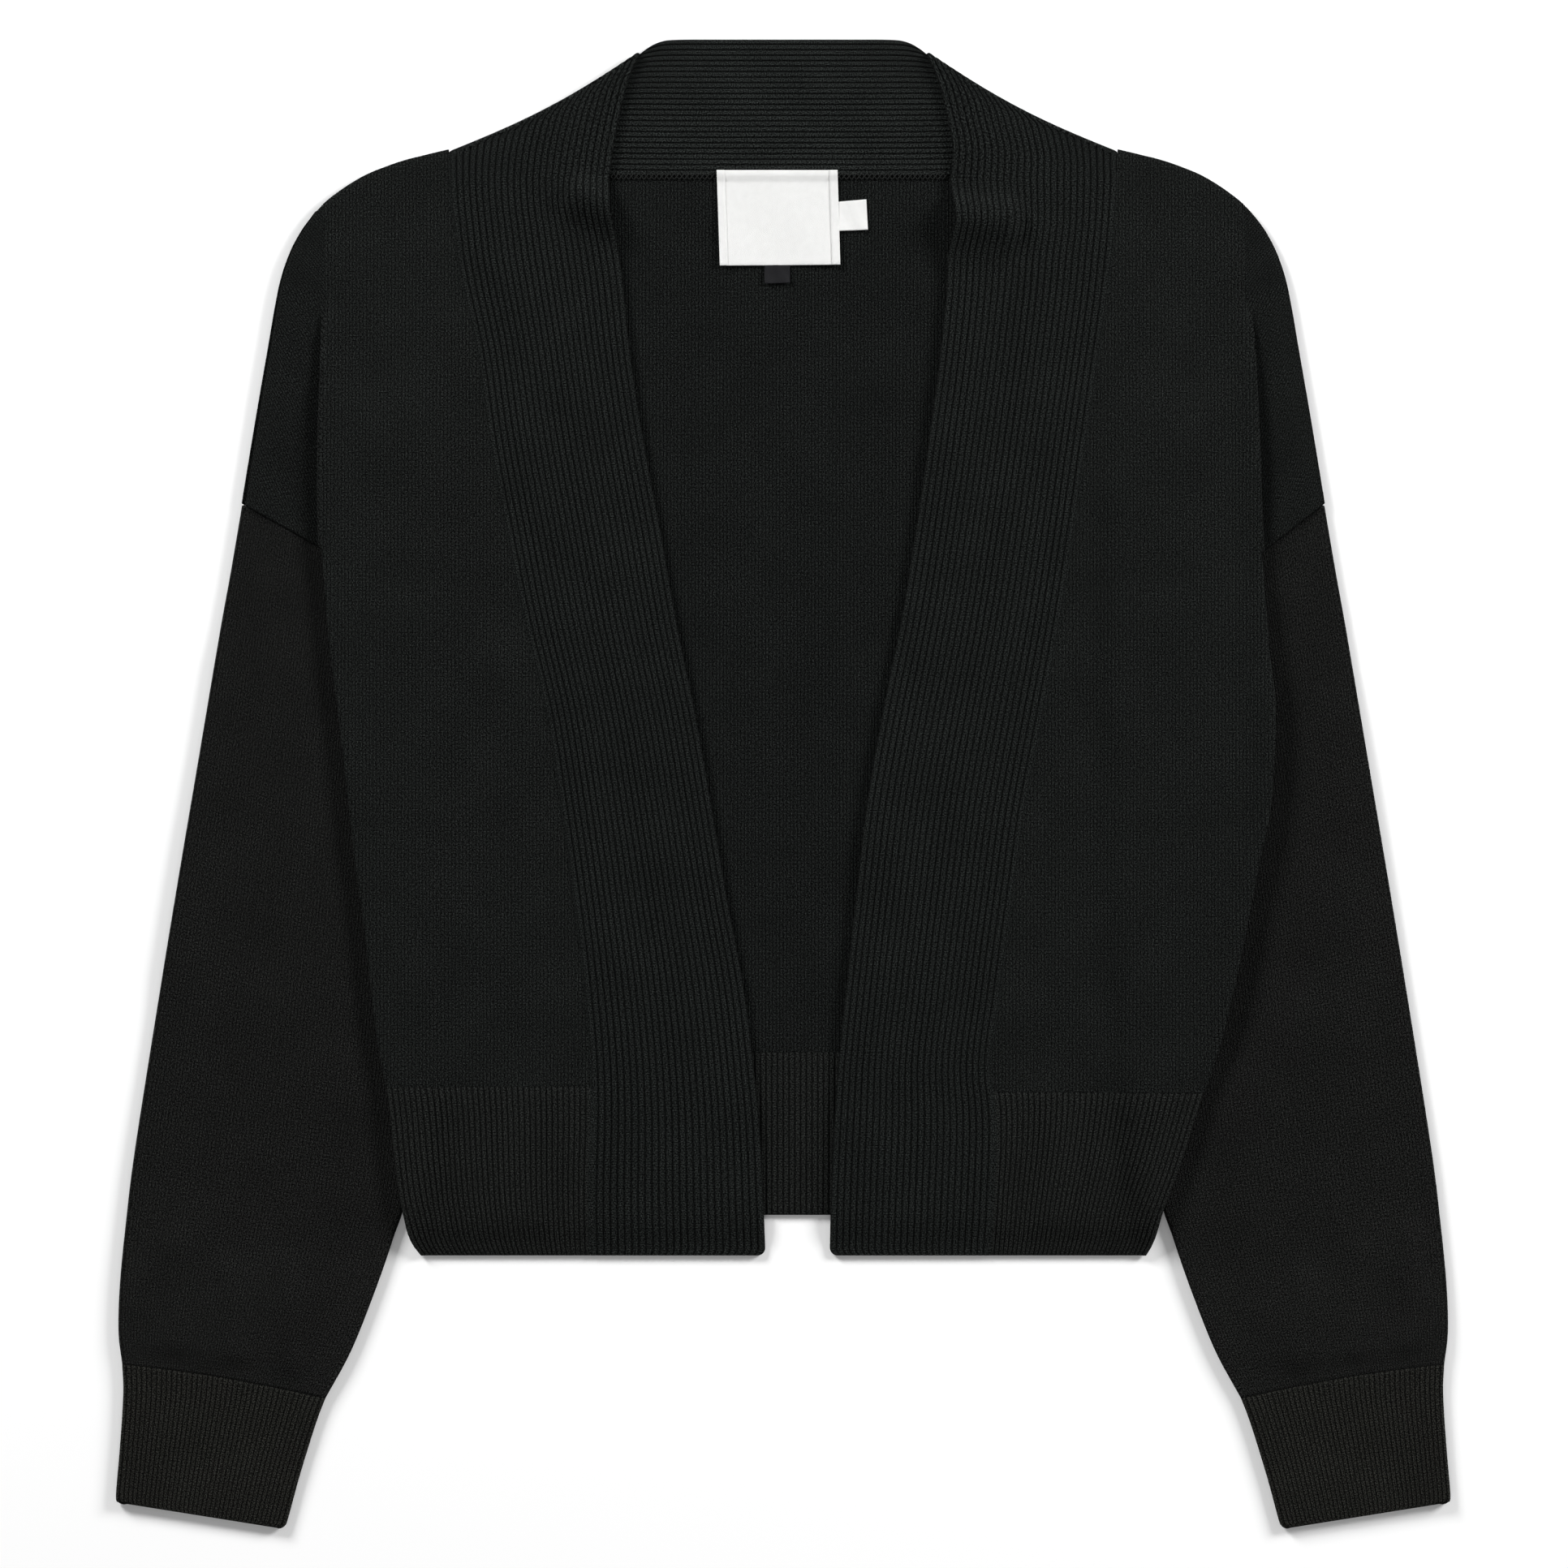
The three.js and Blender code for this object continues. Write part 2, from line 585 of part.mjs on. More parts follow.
// Middle surface of the band at one section: a straight line that sags, at a given height
function bandStation(side, section, heightAt) {
  const { seamX, seamY, freeX, freeY, sag } = section;
  const length = Math.hypot(seamX - freeX, seamY - freeY);
  const down = { x: -(freeY - seamY) / length, y: (freeX - seamX) / length };
  return (t) => {
    const hang = sag * Math.sin(Math.PI * t);
    const x = side.sign * (lerp(seamX, freeX, t) + hang * down.x);
    const y = lerp(seamY, freeY, t) + hang * down.y;
    return new THREE.Vector3(x, y, heightAt(x, y));
  };
}

// Stations round the shoulder fold, a half turn about a line that lies inside the outline
function foldStations(side) {
  const upper = FRONT_BASE + RIB_WALL / 2;
  const lower = RIB_WALL / 2;
  const radius = (upper - lower) / 2;
  const reach = radius + RIB_WALL / 2 + RIB_RISE;
  const { seamX, seamY, freeX, freeY } = BAND_FOLD;
  const length = Math.hypot(seamX - freeX, seamY - freeY);
  const inward = { x: -(freeY - seamY) / length, y: (freeX - seamX) / length };
  return evenly(QUARTER, -QUARTER, FOLD_STEPS).map((angle, i) => {
    const shift = reach - radius * Math.cos(angle);
    const height = (upper + lower) / 2 + radius * Math.sin(angle);
    const section = {
      seamX: seamX + inward.x * shift,
      seamY: seamY + inward.y * shift,
      freeX: freeX + inward.x * shift,
      freeY: freeY + inward.y * shift,
      sag: BAND_FOLD.sag,
    };
    return { at: bandStation(side, section, () => height), ribsOut: i <= FOLD_STEPS / 2, ribsIn: false };
  });
}

// One half of the band, from the bottom of its leg over the shoulder to the middle of the back neck
function bandHalf(side) {
  const legHeight = (x, y) => frontBaseAt(x, y) + RIB_WALL / 2;
  const leg = BAND.map((row) => ({
    seamX: row[`${side.name}Seam`],
    seamY: row.y,
    freeX: row[`${side.name}Free`],
    freeY: row.y,
    sag: 0,
  }));
  const front = [...leg, ...BAND_FAN].map((section) => (
    { at: bandStation(side, section, legHeight), ribsOut: true, ribsIn: false }));
  const back = BAND_BACK.map((section) => {
    const lifted = { ...section, seamY: section.seamY + SEAM_GAP / 2 };
    return { at: bandStation(side, lifted, () => RIB_WALL / 2), ribsOut: false, ribsIn: true };
  });
  return [...front, ...foldStations(side), ...back];
}

// Unit normal of the band's middle surface, towards the garment's outside
function bandNormal(stations, k, t) {
  const [before, after] = [Math.max(k - 1, 0), Math.min(k + 1, stations.length - 1)];
  const along = stations[after].at(t).sub(stations[before].at(t));
  const [low, high] = [Math.max(0, t - NORMAL_STEP), Math.min(1, t + NORMAL_STEP)];
  const across = stations[k].at(high).sub(stations[k].at(low));
  return across.cross(along).normalize();
}

function frontBand() {
  const [left, right] = SIDES.map(bandHalf);
  const stations = [...left, ...right.slice(0, -1).reverse()];
  const row = (k, isOuter) => {
    const ribbed = isOuter ? stations[k].ribsOut : stations[k].ribsIn;
    return (ribbed ? ribPlaces(BAND_RIBS) : plainPlaces(BAND_INSIDE_STEPS)).map(({ t, rise }) => {
      const offset = (isOuter ? 1 : -1) * (RIB_WALL / 2 + rise);
      return { t, p: stations[k].at(t).addScaledVector(bandNormal(stations, k, t), offset) };
    });
  };
  const outer = stations.map((_, k) => row(k, true));
  const inner = stations.map((_, k) => row(k, false));
  return wallFromRows(outer, inner);
}

// Sleeves and cuffs

// Flat ring round a section: the upper face from the outer fold to the inner one, then back underneath.
// "inset" shrinks it to the wall's inner face.
function flatRing(side, section, inset, upperPlaces, riseAt = () => 0) {
  const { outerX, outerY, innerX, innerY, bow = 0 } = section;
  const length = Math.hypot(outerX - innerX, outerY - innerY);
  const half = SLEEVE_LOFT / 2;
  const radius = half - inset;
  const [dx, dy] = [(innerX - outerX) / length, (innerY - outerY) / length];
  const place = (distance, z) => {
    const lift = bow * Math.sin(Math.PI * (distance / length));
    const x = side.sign * (outerX + dx * distance);
    return new THREE.Vector3(x, outerY + dy * distance + lift, z);
  };
  const [start, end] = [half, length - half];
  const quarterSteps = inset > 0 ? 1 : 2;
  const arc = (centre, from, quarters, tFrom, tTo) => {
    const angles = evenly(from, from + quarters * QUARTER, quarters * quarterSteps);
    return angles.map((angle, i) => ({
      t: lerp(tFrom, tTo, i / (angles.length - 1)),
      p: place(centre + radius * Math.sin(angle), half + radius * Math.cos(angle)),
    }));
  };
  const top = upperPlaces.slice(1, -1).map(({ t, rise }) => {
    const point = place(lerp(start, end, t), half + radius + rise);
    point.z += riseAt(point.x, point.y);
    return { t: lerp(FOLD_SHARE, HALF_ROUND - FOLD_SHARE, t), p: point };
  });
  const bottom = evenly(0, 1, UNDERSIDE_STEPS).slice(1, -1).map((t) => (
    { t: lerp(HALF_ROUND + FOLD_SHARE, 1 - FOLD_SHARE, t), p: place(lerp(end, start, t), half - radius) }));
  return [
    ...arc(start, -QUARTER, 1, 0, FOLD_SHARE), ...top,
    ...arc(end, 0, 2, HALF_ROUND - FOLD_SHARE, HALF_ROUND + FOLD_SHARE), ...bottom,
    ...arc(start, -2 * QUARTER, 1, 1 - FOLD_SHARE, 1),
  ];
}

function sleeve(side) {
  const drop = SLEEVE[0].innerY - side.armholeInnerY;
  const last = SLEEVE.length - 1;
  const sections = SLEEVE.map((row, i) => ({
    ...row,
    innerY: row.innerY - drop * Math.max(0, 1 - i / ARMHOLE_BLEND_ROWS),
    bow: i === last ? CUFF_SEAM_BOW : 0,
  }));
  const shifts = sections.map((_, i) => (i === 0 ? -SEAM_GAP / 2 : i === last ? SEAM_GAP / 2 : 0));
  const moved = sections.map((row, i) => (
    { ...row, outerY: row.outerY + shifts[i], innerY: row.innerY + shifts[i] }));
  const folds = (x, y) => foldRise(SLEEVE_FOLDS, x, y);
  const outer = moved.map((row) => flatRing(side, row, 0, plainPlaces(SLEEVE_STEPS), folds));
  const inner = moved.map((row) => flatRing(side, row, JERSEY, plainPlaces(SLEEVE_STEPS), folds));
  return wallFromRows(outer, inner, true);
}

function cuff(side) {
  const sections = CUFF.map((row, i) => ({ ...row, bow: i === 0 ? CUFF_SEAM_BOW : 0 }));
  sections[0].outerY -= SEAM_GAP / 2;
  sections[0].innerY -= SEAM_GAP / 2;
  const outer = sections.map((row) => flatRing(side, row, 0, ribPlaces(CUFF_RIBS)));
  const inner = sections.map((row) => flatRing(side, row, RIB_WALL, plainPlaces(CUFF_INSIDE_STEPS)));
  return wallFromRows(outer, inner, true);
}

// Labels on the back panel's inside; the top of the neck label steps up on to the collar's edge
function labelSheet({ left, right, bottom, top, lipStart = top }) {
  const base = JERSEY + SEAM_GAP + LABEL_WALL / 2;
  const bent = [bottom, (bottom + lipStart) / 2, lipStart, NECK_SEAM - LABEL_WALL, top];
  const ys = lipStart < top ? bent : [bottom, top];
  const grid = ys.map((y) => evenly(left, right, LABEL_STEPS).map((x) => (
    new THREE.Vector3(x, y, base + (y > lipStart ? RIB_RISE : 0)))));
  return thickSheet([grid], LABEL_WALL);
}

function addPiece(group, name, geometry, look) {
  const mesh = new THREE.Mesh(geometry, new THREE.MeshStandardMaterial({ name, ...look }));
  mesh.name = name;
  group.add(mesh);
}

function buildCardigan() {
  const group = new THREE.Group();
  group.name = "cropped_cardigan";
  addPiece(group, "back_panel", backPanel(), CLOTH_LOOK);
  addPiece(group, "back_hem", backHem(), RIB_LOOK);
  addPiece(group, "front_band", frontBand(), RIB_LOOK);
  for (const side of SIDES) {
    addPiece(group, `${side.name}_front`, frontPanel(side), CLOTH_LOOK);
    addPiece(group, `${side.name}_front_hem`, frontHem(side), RIB_LOOK);
    addPiece(group, `${side.name}_sleeve`, sleeve(side), CLOTH_LOOK);
    addPiece(group, `${side.name}_cuff`, cuff(side), RIB_LOOK);
  }
  addPiece(group, "neck_label", labelSheet(NECK_LABEL), LABEL_LOOK);
  addPiece(group, "size_tab", labelSheet(SIZE_TAB), SIZE_TAB_LOOK);
  addPiece(group, "care_tab", labelSheet(CARE_TAB), LABEL_LOOK);
  return group;
}

export default buildCardigan();
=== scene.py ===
"""Dresses the laid-out cropped cardigan: knitted panels, ribbed strips, linked seams and labels.

Every size is in millimetres until a mesh is made, which is in metres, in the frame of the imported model:
+X to the right of the view from above, +Y towards the collar, +Z up from the surface.
"""

from __future__ import annotations

import logging
import math
from collections.abc import Callable
from dataclasses import dataclass, field
from enum import Enum

import bpy
import numpy as np
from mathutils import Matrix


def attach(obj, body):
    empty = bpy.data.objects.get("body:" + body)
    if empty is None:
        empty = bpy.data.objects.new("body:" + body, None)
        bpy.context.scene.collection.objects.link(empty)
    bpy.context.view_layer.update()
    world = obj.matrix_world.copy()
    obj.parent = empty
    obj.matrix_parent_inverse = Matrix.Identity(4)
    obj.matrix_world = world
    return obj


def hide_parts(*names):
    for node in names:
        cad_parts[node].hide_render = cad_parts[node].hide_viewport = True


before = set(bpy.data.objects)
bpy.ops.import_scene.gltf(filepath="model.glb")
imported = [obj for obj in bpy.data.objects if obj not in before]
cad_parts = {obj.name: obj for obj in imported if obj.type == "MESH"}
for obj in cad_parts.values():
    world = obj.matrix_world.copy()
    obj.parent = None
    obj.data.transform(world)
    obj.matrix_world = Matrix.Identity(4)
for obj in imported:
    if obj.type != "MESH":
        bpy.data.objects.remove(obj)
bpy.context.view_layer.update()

LOG = logging.getLogger("cardigan")
MM = 0.001
UV_NAME = "cloth"

Array = np.ndarray


# Numbers along lines


def table(columns: str, rows: list[tuple[float, ...]]) -> dict[str, Array]:
    """Turns rows of numbers into one array for each named column."""
    return dict(zip(columns.split(), np.array(rows, float).T))


def smoothstep(place: Array) -> Array:
    """Rises from 0 to 1 between 0 and 1, level at both ends: 3 p squared minus 2 p cubed."""
    clipped = np.clip(place, 0.0, 1.0)
    return clipped * clipped * (3.0 - 2.0 * clipped)


def read(keys: Array, values: Array, places: Array) -> Array:
    """Reads a smooth line through given values.

    Between two keys it is the cubic that meets both values, with slopes taken from the neighbouring
    keys. Beyond the ends it stays at the end values.

    Args:
        keys: Rising or falling places of the values.
        values: The value at each key.
        places: Where to read the line.

    Returns:
        The line's values, shaped as places.
    """
    if keys[0] > keys[-1]:
        keys, values = keys[::-1], values[::-1]
    slopes = np.gradient(values, keys)
    at = np.clip(places, keys[0], keys[-1])
    left = np.clip(np.searchsorted(keys, at, side="right") - 1, 0, len(keys) - 2)
    step = keys[left + 1] - keys[left]
    t = (at - keys[left]) / step
    t2, t3 = t * t, t * t * t
    return (
        (2 * t3 - 3 * t2 + 1) * values[left]
        + (t3 - 2 * t2 + t) * step * slopes[left]
        + (3 * t2 - 2 * t3) * values[left + 1]
        + (t3 - t2) * step * slopes[left + 1]
    )


@dataclass(frozen=True)
class Spacing:
    """Places across a strip whose two rims are rounded.

    A place is rim_part * rim + inner_part * (width - 2 * rim), and the wall has the given share of
    its thickness there: the sine of the angle round the rim, and 1 between the rims.
    """

    rim_part: Array
    inner_part: Array
    thickness: Array

    @classmethod
    def even(cls, steps: int, rim_steps: int = 3, inner: Array | None = None) -> "Spacing":
        """Makes a spacing with even steps between the rims.

        Args:
            steps: Number of steps between the rims.
            rim_steps: Number of steps round each rim.
            inner: Places from 0 to 1 between the rims, in place of even ones.

        Returns:
            The spacing.
        """
        turn = np.linspace(0.0, math.pi / 2, rim_steps + 1)
        middle = np.linspace(0.0, 1.0, steps + 1) if inner is None else inner
        first = 1.0 - np.cos(turn[:-1])
        rim = np.concatenate([first, np.ones(len(middle)), 2.0 - first[::-1]])
        body = np.concatenate([np.zeros(rim_steps), middle, np.ones(rim_steps)])
        share = np.concatenate([np.sin(turn[:-1]), np.ones(len(middle)), np.sin(turn[:-1])[::-1]])
        return cls(rim, body, share)

    def places(self, width: Array | float, rim: float) -> Array:
        """Gives the places across strips of several widths.

        Args:
            width: The strips' widths.
            rim: Size of the rounded rims, which is less where a strip is narrow.

        Returns:
            The places, one row for each width.
        """
        wide = np.atleast_1d(np.asarray(width, float))[:, None]
        small = np.minimum(rim, wide / 4)
        return self.rim_part * small + self.inner_part * (wide - 2 * small)


# The cardigan as it lies


BODY_EDGE = table("y left right", [
    (-205, 157.3, 157.6), (-203, 158.9, 158.8), (-186, 164.7, 164.3), (-165, 168.0, 172.0),
    (-136, 171.2, 181.2), (-118, 174.4, 187.3), (-92, 177.9, 193.9), (-64, 180.9, 199.8),
    (-36, 184.8, 205.2), (-10, 187.8, 210.5), (13, 190.3, 212.1), (38, 193.4, 212.3),
    (55, 195.7, 210.2), (80, 197.9, 208.4), (103, 199.6, 206.6), (150, 199.8, 204.6),
    (182, 198.9, 203.2), (213, 198.2, 200.8),
])
BAND = table("y left_seam left_free right_seam right_free", [
    (-205, 83.8, 7.7, 89.6, 20.2), (-180, 84.1, 8.6, 91.0, 20.7), (-139, 83.1, 11.0, 91.5, 22.6),
    (-128, 83.2, 12.2, 90.1, 23.4), (-90, 86.0, 16.8, 94.0, 27.0), (-50, 90.6, 24.2, 99.4, 31.4),
    (-10, 96.2, 31.0, 105.1, 36.0), (30, 102.6, 38.0, 112.6, 42.8), (70, 112.0, 46.2, 119.9, 50.9),
    (110, 120.0, 53.2, 126.0, 57.4), (150, 127.4, 60.7, 131.6, 63.2), (190, 133.2, 66.7, 137.4, 68.4),
    (221, 140.0, 69.9, 141.6, 71.1), (229, 141.4, 71.1, 142.4, 71.4), (238, 142.4, 72.6, 143.3, 73.5),
    (243, 142.9, 73.6, 143.6, 74.6), (252, 143.8, 75.2, 144.3, 73.6), (262, 144.4, 75.6, 144.9, 72.3),
])
BAND_FAN = table("seam_x seam_y free_x free_y sag", [
    (144.6, 267.5, 73.4, 277.0, 0.4), (144.8, 271.5, 70.4, 292.0, 1.2), (144.9, 274.0, 67.0, 305.5, 2.2),
])
COLLAR_TOP = 323.2
NECK_SEAM = 263.8
BAND_FOLD = table("seam_x seam_y free_x free_y sag", [(145.0, 275.1, 62.6, 317.2, 2.9)])
BAND_BACK = table("seam_x seam_y free_x free_y sag", [
    (130, 270.6, 58.0, 319.9, 2), (106, 266.2, 53.2, 322.2, 1), (78, 264.2, 46.5, 323.1, 0),
    (42, NECK_SEAM, 27, COLLAR_TOP, 0), (0, NECK_SEAM, 0, COLLAR_TOP, 0),
])
SHOULDER = table("x y", [
    (145.0, 275.1), (156.6, 272.3), (163.7, 270.5), (172.5, 267.5), (181.3, 263.8), (190.5, 258.2),
    (199.5, 251.0), (205.9, 243.8), (211.9, 234.3), (215.8, 225.1), (218.2, 217.0), (220.4, 206.1),
    (222.8, 192.0), (227.7, 163.9), (234.8, 121.3),
])
SLEEVE = table("outer_x outer_y inner_x inner_y", [
    (234.8, 121.3, 150.0, 74), (239.6, 93.0, 150.0, 47), (244.6, 65.3, 150.5, 20), (254.1, 9.0, 152.0, -30),
    (263.6, -47.3, 154.5, -80), (272.8, -103.7, 157.5, -127), (281.6, -160.0, 163.0, -176),
    (285.1, -188.1, 169.5, -198), (287.9, -216.3, 177.5, -221), (288.6, -237.4, 187.5, -246),
    (287.0, -251.9, 198.7, -266.8),
])
CUFF = table("outer_x outer_y inner_x inner_y", [
    (287.0, -251.9, 198.7, -266.8), (286.5, -262.0, 201.9, -275.0), (287.0, -274.5, 205.8, -287.0),
    (288.3, -292.0, 210.6, -303.0), (289.7, -308.9, 214.9, -318.9), (288.9, -311.2, 216.2, -321.9),
    (286.7, -312.3, 218.4, -323.2),
])


class Side(Enum):
    """The two halves of the cardigan, as the view from above shows them."""

    LEFT = -1
    RIGHT = 1

    @property
    def word(self) -> str:
        """Name of the half, as the model's nodes use it."""
        return self.name.lower()

    @property
    def hem_top(self) -> float:
        """Where the front's hem begins along Y."""
        return -131.3 if self is Side.LEFT else -133.8

    @property
    def armhole_inner_y(self) -> float:
        """Where the sleeve's seam ends under the body along Y."""
        return 74.0 if self is Side.LEFT else 56.0


FOLD_BEND = 0.18
FOLD_WAVE = 23.0


@dataclass(frozen=True)
class Fold:
    """A soft ridge, or a trough where rise is below zero, along a line from start to end.

    The side towards the hem is lee times as wide as the other.
    """

    side: Side
    start: tuple[float, float]
    end: tuple[float, float]
    width: float
    rise: float
    lee: float = 1.0

    def height(self, x: Array, y: Array) -> Array:
        """Height at points: a bell across the line that fades at its ends.

        It is rise * exp(-(across / width)^2), where across is measured from a line that winds a little.

        Args:
            x: Places along X.
            y: Places along Y.

        Returns:
            The height that the fold adds.
        """
        x0 = self.side.value * self.start[0]
        dx = self.side.value * self.end[0] - x0
        dy = self.end[1] - self.start[1]
        length = math.hypot(dx, dy)
        along = ((x - x0) * dx + (y - self.start[1]) * dy) / length
        bend = FOLD_BEND * self.width * np.sin(along / FOLD_WAVE)
        across = ((x - x0) * dy - (y - self.start[1]) * dx) / length + bend
        fade = smoothstep((along + self.width) / (2 * self.width))
        fade = fade * smoothstep((length - along + self.width) / (2 * self.width))
        width = np.where(across * self.side.value > 0, self.width * self.lee, self.width)
        return self.rise * fade * np.exp(-((across / width) ** 2))


L, R = Side.LEFT, Side.RIGHT
FRONT_FOLDS = [
    Fold(L, (64, 245), (91, 259), 5, 7.0, 2.0), Fold(R, (64, 249), (101, 246), 4.5, 7.8, 3.0),
    Fold(L, (104, 30), (92, -112), 8, -1.2), Fold(L, (124, 64), (112, -96), 13, 1.3),
    Fold(L, (152, 214), (146, 120), 15, 1.0), Fold(L, (166, -20), (158, -120), 10, 0.7),
    Fold(R, (146, 206), (143, 136), 8, -1.2), Fold(R, (160, 214), (158, 110), 14, 1.4),
    Fold(R, (116, -10), (106, -110), 12, 1.1), Fold(R, (186, 66), (178, -60), 12, 0.9),
    Fold(R, (140, 60), (132, -40), 14, 0.7),
]
SLEEVE_FOLDS = [
    Fold(L, (236, 60), (262, -90), 13, 1.2), Fold(L, (214, -60), (226, -170), 12, 0.9),
    Fold(L, (262, -196), (264, -246), 6, 1.7), Fold(L, (240, -206), (238, -252), 5, 1.5),
    Fold(L, (216, -204), (214, -258), 5, 1.2),
    Fold(R, (234, 40), (256, -70), 12, 1.0), Fold(R, (222, -90), (236, -190), 13, 1.1),
    Fold(R, (272, -192), (270, -246), 6, 1.6), Fold(R, (250, -200), (246, -250), 5, 1.3),
    Fold(R, (226, -210), (222, -256), 6, 1.5),
]


@dataclass(frozen=True)
class Lay:
    """How the layers lie on each other: thicknesses, heights and the lines that the pieces share."""

    jersey: float = 1.6
    rib_wall: float = 1.6
    rib_rise: float = 0.6
    layer_gap: float = 0.4
    sleeve_hollow: float = 0.6
    lift_ramp: float = 16.0
    lift_margin: float = 2.5
    crease_top: float = 213.0
    shoulder_corner: float = 199.5
    crease_hold: float = 0.8
    lift_hold: float = 0.3
    roll: float = 0.9
    roll_reach: float = 7.0
    roll_start: float = 30.0
    roll_end: float = 12.0
    crease_roll: float = 1.9
    back_tuck: float = 6.5
    side_tuck: float = 0.6
    right_rise: float = 3.2
    right_reach: float = 13.0
    right_fade: float = 60.0
    right_low: float = -150.0
    right_low_fade: float = 80.0
    overhang_start: float = -188.5
    overhang_length: float = 14.0
    hem_end: float = -205.0
    hem_settle: float = 20.0
    trough: float = 0.9
    seam: float = 0.05

    @property
    def summit(self) -> float:
        """Place along Y where the band's seam meets the shoulder's outline."""
        return float(BAND_FOLD["seam_y"][0])

    @property
    def front_base(self) -> float:
        """Underside of the fronts over the back."""
        return self.rib_wall + self.rib_rise + self.layer_gap

    @property
    def sleeve_loft(self) -> float:
        """Height of a flattened sleeve."""
        return 2 * self.jersey + self.sleeve_hollow

    @property
    def body_lift(self) -> float:
        """Underside of the back where it lies on a sleeve."""
        return self.sleeve_loft + self.layer_gap

    def edge(self, side: Side, y: Array) -> Array:
        """Distance of the body's side from the middle."""
        return read(BODY_EDGE["y"], BODY_EDGE[side.word], y)

    def band_seam(self, side: Side, y: Array) -> Array:
        """Reads the band's seam, up to the shoulder fold.

        Args:
            side: Which half.
            y: Places along Y.

        Returns:
            Its distance from the middle.
        """
        keys = np.append(BAND["y"], BAND_FOLD["seam_y"])
        values = np.append(BAND[f"{side.word}_seam"], BAND_FOLD["seam_x"])
        return read(keys, values, y)

    def turned(self, y: Array) -> Array:
        """Share of the way from level rows at the crease's top to the row on the shoulder's outline."""
        return np.clip((y - self.crease_top) / (self.summit - self.crease_top), 0, 1)

    def panel_edge(self, side: Side, y: Array) -> Array:
        """Distance from the middle of a panel's side or crease, for each row."""
        top = self.turned(y)
        return self.edge(side, y) * (1 - top) + self.shoulder_corner * top

    def outline(self, crease: Array) -> tuple[Array, Array]:
        """Points on the dropped shoulder's outline.

        Args:
            crease: Points up the crease, from the sleeve's seam to the shoulder's corner.

        Returns:
            Distance from the middle and place along Y of the point that belongs to each.
        """
        low, high = crease[0, 1], crease[-1, 1]
        t = (crease[:, 1] - low) / (high - low)
        y = (SLEEVE["outer_y"][0] + self.seam) * (1 - t) + high * t
        return read(SHOULDER["y"], SHOULDER["x"], y), y

    def sleeve_inner(self, y: Array) -> Array:
        """Distance from the middle of the sleeve's fold that lies under the body."""
        return read(SLEEVE["inner_y"], SLEEVE["inner_x"], y)

    def shoulder_y(self, x: Array) -> Array:
        """Height of the shoulder's outline along Y, at a distance from the middle."""
        return read(SHOULDER["x"], SHOULDER["y"], x)

    def corner_y(self, side: Side) -> float:
        """Finds where the sleeve's seam meets the crease, by stepping to it.

        Args:
            side: Which half.

        Returns:
            The place along Y.
        """
        outer_x, outer_y = SLEEVE["outer_x"][0], SLEEVE["outer_y"][0]
        slope = (outer_y - side.armhole_inner_y) / (outer_x - SLEEVE["inner_x"][0])
        y = outer_y
        for _ in range(6):
            y = outer_y - slope * (outer_x - float(self.edge(side, np.array(y))))
        return y

    def lift(self, x: Array, y: Array) -> Array:
        """Height of the body's underside: body_lift on the sleeve, down beside it and above the crease.

        Args:
            x: Places along X.
            y: Places along Y.

        Returns:
            The height of the body's lowest face.
        """
        corner = np.where(x < 0, self.corner_y(L), self.corner_y(R))
        inward = (self.sleeve_inner(y) - self.lift_margin - np.abs(x)) / self.lift_ramp
        laid = self.body_lift * (1 - smoothstep(inward)) * self.crease_depth(y, corner, self.lift_hold)
        side_edge = np.where(x < 0, self.edge(L, y), self.edge(R, y))
        share = np.where(x < 0, self.free_share(L, y), self.free_share(R, y))
        return laid + self.right_edge_rise(x, y) + self.edge_roll(side_edge - np.abs(x), share)

    def free_share(self, side: Side, y: Array) -> Array:
        """Share of the edge roll that front and back have together: from the hem up to the armhole."""
        rising = smoothstep((y - side.hem_top) / self.roll_start)
        return rising * smoothstep((self.corner_y(side) - y) / self.roll_end)

    def right_edge_rise(self, x: Array, y: Array) -> Array:
        """Height by which the body's right side stands off the sleeve: a bell from its edge inwards.

        It is right_rise * exp(-(distance / right_reach)^2), and fades towards the armhole and the hem.

        Args:
            x: Places along X.
            y: Places along Y.

        Returns:
            The added height.
        """
        distance = self.edge(R, y) - x
        upper = smoothstep((self.corner_y(R) - y) / self.right_fade)
        lower = smoothstep((y - self.right_low) / self.right_low_fade)
        return self.right_rise * upper * lower * np.exp(-((distance / self.right_reach) ** 2))

    def edge_roll(self, distance: Array, depth: Array | float) -> Array:
        """Soft roll along the body's free edge or crease: roll * depth * exp(-(distance / reach)^2)."""
        return self.roll * depth * np.exp(-((distance / self.roll_reach) ** 2))

    def crease_depth(self, y: Array, corner: Array | float, hold: float) -> Array:
        """Share of its full depth that the crease beside the dropped shoulder has, from the corner up."""
        rise = (y - corner) / (self.crease_top - corner)
        return 1 - smoothstep((rise - hold) / (1 - hold))

    def unevenness(self, x: Array, y: Array) -> Array:
        """Slow unevenness of laid cloth: the sum of three long crossed waves, up to 0.32 high.

        Args:
            x: Places along X.
            y: Places along Y.

        Returns:
            The height to add.
        """
        first = np.sin(x / 19.0 + 1.3 * np.sin(y / 41.0))
        second = np.sin(y / 27.0 + 0.9 * np.sin(x / 33.0) + 1.0)
        third = np.sin((x + y) / 47.0 + 2.0)
        return 0.10 * first + 0.10 * second + 0.12 * third

    def soft(self, x: Array, y: Array) -> Array:
        """Soft folds and unevenness of the upper layer, which stay clear of the back below it."""
        folds = sum(fold.height(x, y) for fold in FRONT_FOLDS)
        return np.maximum(folds + self.unevenness(x, y), -self.trough)

